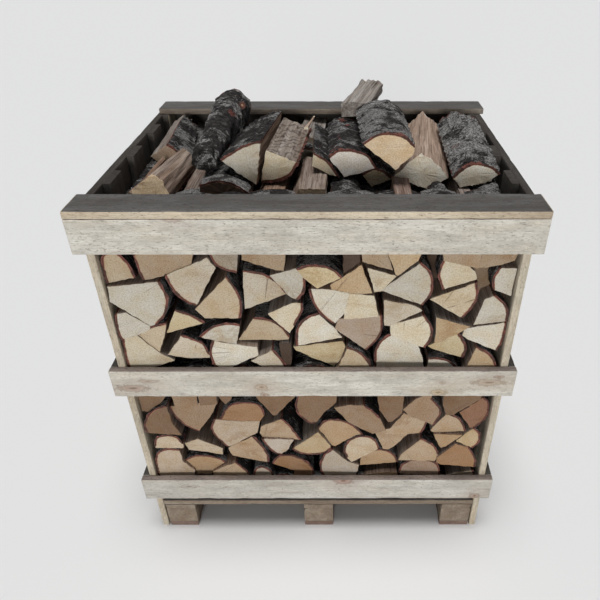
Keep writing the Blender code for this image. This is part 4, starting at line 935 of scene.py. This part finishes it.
height = plus(tree, strand, times(tree, broad, 1.2))
height = plus(tree, height, times(tree, waves, -1.2))
tree.links.new(node_in(tree, "ShaderNodeBump", 0.8, 0.0022, None, height), shader.inputs["Normal"])

log_materials = [birch_end, birch_bark, birch_split]


def hidden_band(seed, bottom, top, count):
    """Log ends for a band that the crate hides: wedges side by side between two levels, bark up, and
    in some bands bark on the outer side of the first or the last wedge as well."""
    chance = np.random.default_rng(seed)
    low = np.linspace(-BAND_SIDE, BAND_SIDE, count + 1)
    high = low.copy()
    low[1:-1] += chance.uniform(-2.2, 2.2, count - 1)
    high[1:-1] += chance.uniform(-2.2, 2.2, count - 1)
    names = list(END_COLOURS)[:PLAIN_COLOURS]
    ends = []
    for i in range(count):
        shoulder = top - chance.uniform(0.5, 1.4)
        crown = ((high[i] + high[i + 1]) / 2, top)
        outline = [(high[i + 1], shoulder), crown, (high[i], shoulder)]
        outline += [(low[i], bottom), (low[i + 1], bottom)]
        bark = 3
        if i == 0 and seed % 2:
            bark = 4
        elif i == count - 1 and seed % 3:
            outline, bark = outline[-1:] + outline[:-1], 4
        ends.append((names[chance.integers(PLAIN_COLOURS)], bark, *np.ravel(outline)))
    return ends


def stacked_row(row, ends, deep_ends, span, mirrored, seed, **shape):
    """One row of the stack, each log its own piece: near and far ends scattered a little, so that no
    two logs stand equally far out, and the deep ones drawn back from the row's open side."""
    chance = np.random.default_rng(seed)
    for number, (colour, bark, *numbers) in enumerate(ends + deep_ends):
        points = np.array(numbers).reshape(-1, 2) / 100
        if mirrored:
            points = np.roll(points[::-1] * np.array([-1.0, 1.0]), bark, axis=0)
        points[:, 0] = np.clip(points[:, 0], -HALF_INSIDE, HALF_INSIDE) + CRATE_SHIFT
        points[:, 1] = np.maximum(points[:, 1], LOG_FLOOR + 0.001)
        start = span[0] + chance.uniform(0.002, 0.022)
        stop = span[1] - chance.uniform(0.002, 0.016)
        if number >= len(ends) and mirrored:
            stop -= DEEP_START
        elif number >= len(ends):
            start += DEEP_START
        # Darker and browner low down: painted shade under the middle rails, partly the wood's own colour.
        brown_shade = BROWN_SHADE if points[:, 1].mean() < BROWN_SHADE_BELOW else 1.0
        tone = np.array(END_COLOURS[colour]) * chance.uniform(0.94, 1.05) * brown_shade
        log = split_log(f"{row}_log_{number:02d}", points, bark, (0, start, 0), (0, stop, 0),
                        seed + 4 * number, tone, chance.uniform(0.15, 0.75), log_materials,
                        fresh=chance.uniform(0.15, 0.75), **shape)
        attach(log, "root")
        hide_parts(f"{row}_row_of_logs")


low_band = hidden_band(3, 14.35, 25.6, 9)
high_band = hidden_band(4, 64.6, 74.6, 9)
top_band = hidden_band(13, 115.6, 120.6, 9)
rear_band = hidden_band(14, 115.6, 121.4, 8)
stacked_row("front", FRONT_ENDS + low_band + high_band + top_band, DEEP_ENDS, FRONT_SPAN, False, 200)
middle_bands = []
for level, (bottom, top) in enumerate(zip(MIDDLE_LEVELS[:-1], MIDDLE_LEVELS[1:])):
    middle_bands += hidden_band(5 + level, bottom, top + 0.46, 7 + level % 2)
stacked_row("middle", middle_bands, [], MIDDLE_SPAN, False, 500, cuts=8, step=0.014, near_fine=False,
            crowd=1.0)
stacked_row("rear", FRONT_ENDS + low_band + high_band + rear_band, DEEP_ENDS, REAR_SPAN, True, 700,
            near_fine=False, far_fine=True, crowd=0.6)


# The loose heap: logs thrown on top of the stack, mostly with their ends to the front, and standing
# up to fourteen centimetres over the cap. Each line is the middle of the near end and of the far end in
# metres, how much larger the far end is, the end's colour, how silvery the bark is, and the outline.
# Painted light: the loose logs' end colours are raised by a fifth to make up for the shadow that the front
# cap casts on them.
HEAP_PAINTED_LIGHT = 1.20
HEAP = {
    "left_front": ((-0.467, -0.225, 1.219), (-0.443, 0.050, 1.207), 0.84, "honey", 0.4,
                   (3, -4.6, -3.8, 0.0, -4.8, 5.0, -3.6, 5.4, -0.3, 3.8, 3.0, 0.9, 4.8, -5.3, 0.4)),
    "left_rear": ((-0.477, 0.062, 1.214), (-0.487, 0.345, 1.242), 0.68, "pinkish", 0.6,
                  (3, 6.5, -1.0, 3.3, 2.3, -0.2, 5.0, -6.5, 0.6, -1.2, -4.9)),
    "long_dark": ((-0.325, -0.128, 1.277), (-0.281, 0.205, 1.344), 1.65, "dark", 0.15,
                  (6, 3.2, -2.4, 3.4, 0.6, 2.0, 2.8, -0.5, 3.3, -2.8, 1.9, -3.4, -0.9,
                   -1.9, -2.9, 1.3, -3.3)),
    "half_round": ((-0.211, -0.135, 1.271), (-0.178, 0.185, 1.266), 1.02, "grey_cream", 0.1,
                   (5, 6.2, 6.8, 4.1, 6.6, 0.3, 5.2, -3.5, 3.1, -6.3, 1.4, 3.8, -6.8)),
    "wavy_quarter": ((-0.103, -0.115, 1.253), (-0.076, 0.200, 1.257), 1.00, "cream", 0.3,
                     (4, -5.9, -5.1, -0.6, -4.5, 3.3, -2.5, 5.9, 1.2, -3.6, 5.0)),
    "low_split": ((-0.006, -0.200, 1.197), (-0.004, 0.060, 1.197), 1.00, "brown_tan", 0.3,
                  (0, 4.6, -2.8, 4.4, 2.2, -3.6, 2.2, -6.0, -2.6)),
    "quarter": ((0.038, -0.085, 1.247), (0.028, 0.200, 1.250), 0.95, "cream", 0.2,
                (4, 4.2, -4.1, 2.5, -1.2, -0.1, 1.9, -3.7, 4.1, -4.2, -0.1, -0.1, -2.5)),
    "half_white": ((0.118, -0.085, 1.253), (0.106, 0.220, 1.259), 0.92, "chalk", 0.2,
                   (5, 7.4, -1.3, 4.5, 2.8, -0.0, 4.3, -4.4, 4.2, -7.4, 2.1, -2.6, -4.4, 2.1, -3.4)),
    "half_small": ((0.198, -0.055, 1.196), (0.198, 0.160, 1.196), 1.00, "cream", 0.4,
                   (4, 5.1, -0.3, 1.8, 2.0, -1.3, 2.9, -5.2, 1.1, -1.9, -2.9)),
    "big_top": ((0.219, -0.170, 1.321), (0.209, 0.160, 1.320), 1.03, "honey", 0.75,
                (5, 7.5, 1.8, 4.4, 4.4, 0.1, 5.4, -4.0, 4.7, -7.6, 2.2, 2.2, -5.5, 6.8, -1.5)),
    "broken_chunk": ((0.130, 0.168, 1.340), (0.192, 0.300, 1.386), 0.80, "shaded", 0.5,
                     (2, 4.6, -1.8, 4.4, 1.8, 0.0, 3.0, -4.6, 2.4, -4.6, -2.4)),
    "ridge": ((0.331, -0.090, 1.225), (0.371, 0.245, 1.265), 0.75, "white", 0.3,
              (0, 8.4, -1.6, 4.6, 2.4, -0.4, 5.6, -4.6, 2.5, -8.4, -1.2, 1.7, -4.9)),
    "silver_bark": ((0.487, -0.145, 1.240), (0.477, 0.180, 1.296), 0.96, "white", 0.95,
                    (5, 7.1, 0.4, 3.9, 2.6, -1.1, 3.6, -4.5, 2.0, -7.2, -0.5, -4.8, -3.7, 2.8, -2.6)),
}
# What sets some of them apart: how fresh their split faces are, how wavy, rough or broken they are, and
# how far their ends lean back.
HEAP_SHAPES = {
    "left_front": {"fresh": 0.35, "shear": -0.45},
    "left_rear": {"fresh": 0.1, "ragged": 0.014},
    # The long log's near end takes the bark material so that it reads dark: painted shade.
    "long_dark": {"rough": 2.0, "near_kind": 1},
    "half_round": {"fresh": 0.95},
    "wavy_quarter": {"fresh": 0.15, "curl": 0.60},
    "quarter": {"fresh": 0.3},
    "half_small": {"shear": -0.20},
    "broken_chunk": {"fresh": 0.0, "rough": 3.0, "ragged": 0.030, "curl": 0.2, "near_kind": 2},
    "ridge": {"fresh": 0.7, "ragged": 0.012, "shear": -0.22},
    "silver_bark": {"rough": 2.4, "ragged": 0.024, "shear": -0.12},
}


def loose_log(name, entry, seed, node, **shape):
    """One log of the heap, from its line in a list, carried between the middles of its two ends."""
    near, far, far_scale, colour, silver, outline = entry
    near = np.array(near) + np.array([CRATE_SHIFT, 0, 0])
    far = np.array(far) + np.array([CRATE_SHIFT, 0, 0])
    slope = (far[2] - near[2]) / (far[1] - near[1])
    shape = {"rough": 1.5, "tilt": 0.05, "shear": slope * 0.6, **shape}
    points = np.array(outline[1:]).reshape(-1, 2) / 100
    # End colour raised as painted light against the front cap's shadow.
    tone = np.array(END_COLOURS[colour]) * HEAP_PAINTED_LIGHT
    log = split_log(name, points, outline[0], near, far, seed, tone, silver, log_materials,
                    step=0.0045, cuts=60, far_scale=far_scale, far_fine=True, crowd=1.0, **shape)
    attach(log, "root")
    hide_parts(node)


for number, (name, entry) in enumerate(HEAP.items()):
    loose_log(f"loose_{name}", entry, 900 + 4 * number, f"heap_{name}", **HEAP_SHAPES.get(name, {}))

# Low logs and splinters between and under the larger ones, and the stub of a branch on the long log.
LOW_LOGS = {
    "under_long": ((-0.251, -0.185, 1.205), (-0.251, 0.110, 1.200), 1.00, "dark", 0.55,
                   (4, 6.0, -0.7, 3.7, 1.6, -1.8, 3.5, -8.1, 2.1, -8.2, -1.5, -6.0, -4.2, 5.8, -4.2)),
    "under_left": ((-0.372, -0.200, 1.178), (-0.370, 0.050, 1.176), 1.00, "brown", 0.3,
                   (0, 2.6, -2.0, 2.4, 0.8, -1.8, 1.4, -2.6, -2.0)),
    "under_wavy": ((-0.133, -0.200, 1.178), (-0.130, 0.080, 1.176), 1.00, "brown_tan", 0.3,
                   (0, 4.8, -2.0, 4.4, 1.2, -1.6, 1.7, -4.8, -2.0)),
    "under_white": ((0.095, -0.200, 1.178), (0.095, 0.060, 1.178), 1.00, "red_brown", 0.3,
                    (4, 4.9, -0.6, 2.4, 1.6, -1.2, 2.0, -4.2, 0.6, -4.6, -1.8, 4.4, -1.8)),
    "under_red": ((0.264, -0.380, 1.188), (0.262, -0.105, 1.190), 1.00, "red_brown", 0.3,
                  (0, 2.6, -2.8, 2.5, 2.4, -2.4, 2.8, -2.6, -2.8)),
    "under_ridge": ((0.372, -0.400, 1.180), (0.378, -0.100, 1.180), 1.00, "dark", 0.4,
                    (4, 3.2, -0.5, 1.4, 1.8, -0.8, 1.9, -2.8, 0.2, -3.0, -1.8, 3.0, -1.8)),
    "under_silver": ((0.452, -0.210, 1.178), (0.450, 0.080, 1.176), 1.00, "red_brown", 0.4,
                     (0, 2.6, -1.8, 1.8, 1.8, -1.6, 2.0, -2.8, -1.8)),
    "under_right": ((0.516, -0.235, 1.182), (0.514, 0.090, 1.182), 1.00, "dark", 0.6,
                    (4, 4.1, 0.6, 3.2, 2.8, -0.6, 2.8, -3.0, 0.4, -3.2, -2.0, 4.1, -2.0)),
    "left_splinter": ((-0.535, -0.220, 1.190), (-0.500, 0.030, 1.212), 0.70, "shaded", 0.3,
                      (0, 2.0, 2.0, 0.8, 2.7, -2.0, -1.7, -0.7, -2.4)),
    "rear_left": ((-0.508, 0.170, 1.176), (-0.502, 0.450, 1.182), 1.00, "brown", 0.3,
                  (0, 3.8, -1.5, 3.4, 1.8, -2.6, 2.2, -3.8, -1.5)),
    "wall_left": ((-0.531, -0.240, 1.176), (-0.529, 0.115, 1.182), 1.00, "dark", 0.3,
                  (4, 2.5, -0.6, 1.8, 1.6, -0.2, 2.4, -2.0, 2.0, -2.6, -1.8, 2.4, -1.8)),
    "rear_middle": ((-0.036, 0.235, 1.208), (-0.018, 0.450, 1.214), 1.00, "shaded", 0.3,
                    (0, 4.6, -5.6, 4.8, 1.4, -3.0, 2.8, -5.0, -1.6, -4.2, -5.8)),
    "wall_left_rear": ((-0.534, 0.140, 1.190), (-0.530, 0.165, 1.194), 1.00, "dark", 0.3,
                       (0, 2.2, -1.8, 1.6, 1.8, -1.8, 2.4, -2.4, -1.8)),
    "white_splinter": ((-0.032, 0.105, 1.300), (-0.010, 0.215, 1.306), 0.50, "white", 0.5,
                       (0, 0.7, -0.3, 0.6, 0.4, -0.6, 0.3, -0.7, -0.4)),
    "branch_stub": ((-0.238, 0.135, 1.366), (-0.256, 0.195, 1.352), 1.40, "red_brown", 0.2,
                    (9, 1.2, -0.1, 0.9, 0.8, 0.1, 1.2, -0.8, 0.9, -1.2, 0.1, -0.9, -0.8, -0.1, -1.2,
                     0.8, -0.9, 1.15, -0.3)),
}
for number, (name, entry) in enumerate(LOW_LOGS.items()):
    node = "heap_long_dark" if name == "branch_stub" else "middle_row_of_logs"
    loose_log(f"low_{name}", entry, 980 + 4 * number, node, fresh=(number * 0.37) % 1.0)


# The caps: one flat board laid over the front top rail and one over the rear top rail, grey on top
# with weather and painted shade. The front one is still pale along its sawn front edge; the rear
# one is darker all over: painted shade.
cap_pine = pine("cap_pine", (0.60, 0.53, 0.41), (0.54, 0.44, 0.31), (0.16, 0.12, 0.09), 0.8, 0.45)
# The rear cap's darker wood: painted shade.
shaded_rear_cap_pine = pine("shaded_rear_cap_pine", (0.27, 0.24, 0.20), (0.21, 0.165, 0.125), (0.07, 0.055, 0.045),
                     0.8, 0.5)
sawn_board("front_cap", [cap_pine, grey_and_shaded_top], 131, 0.8)
sawn_board("rear_cap", [shaded_rear_cap_pine, grey_and_shaded_top], 132, 0.8)
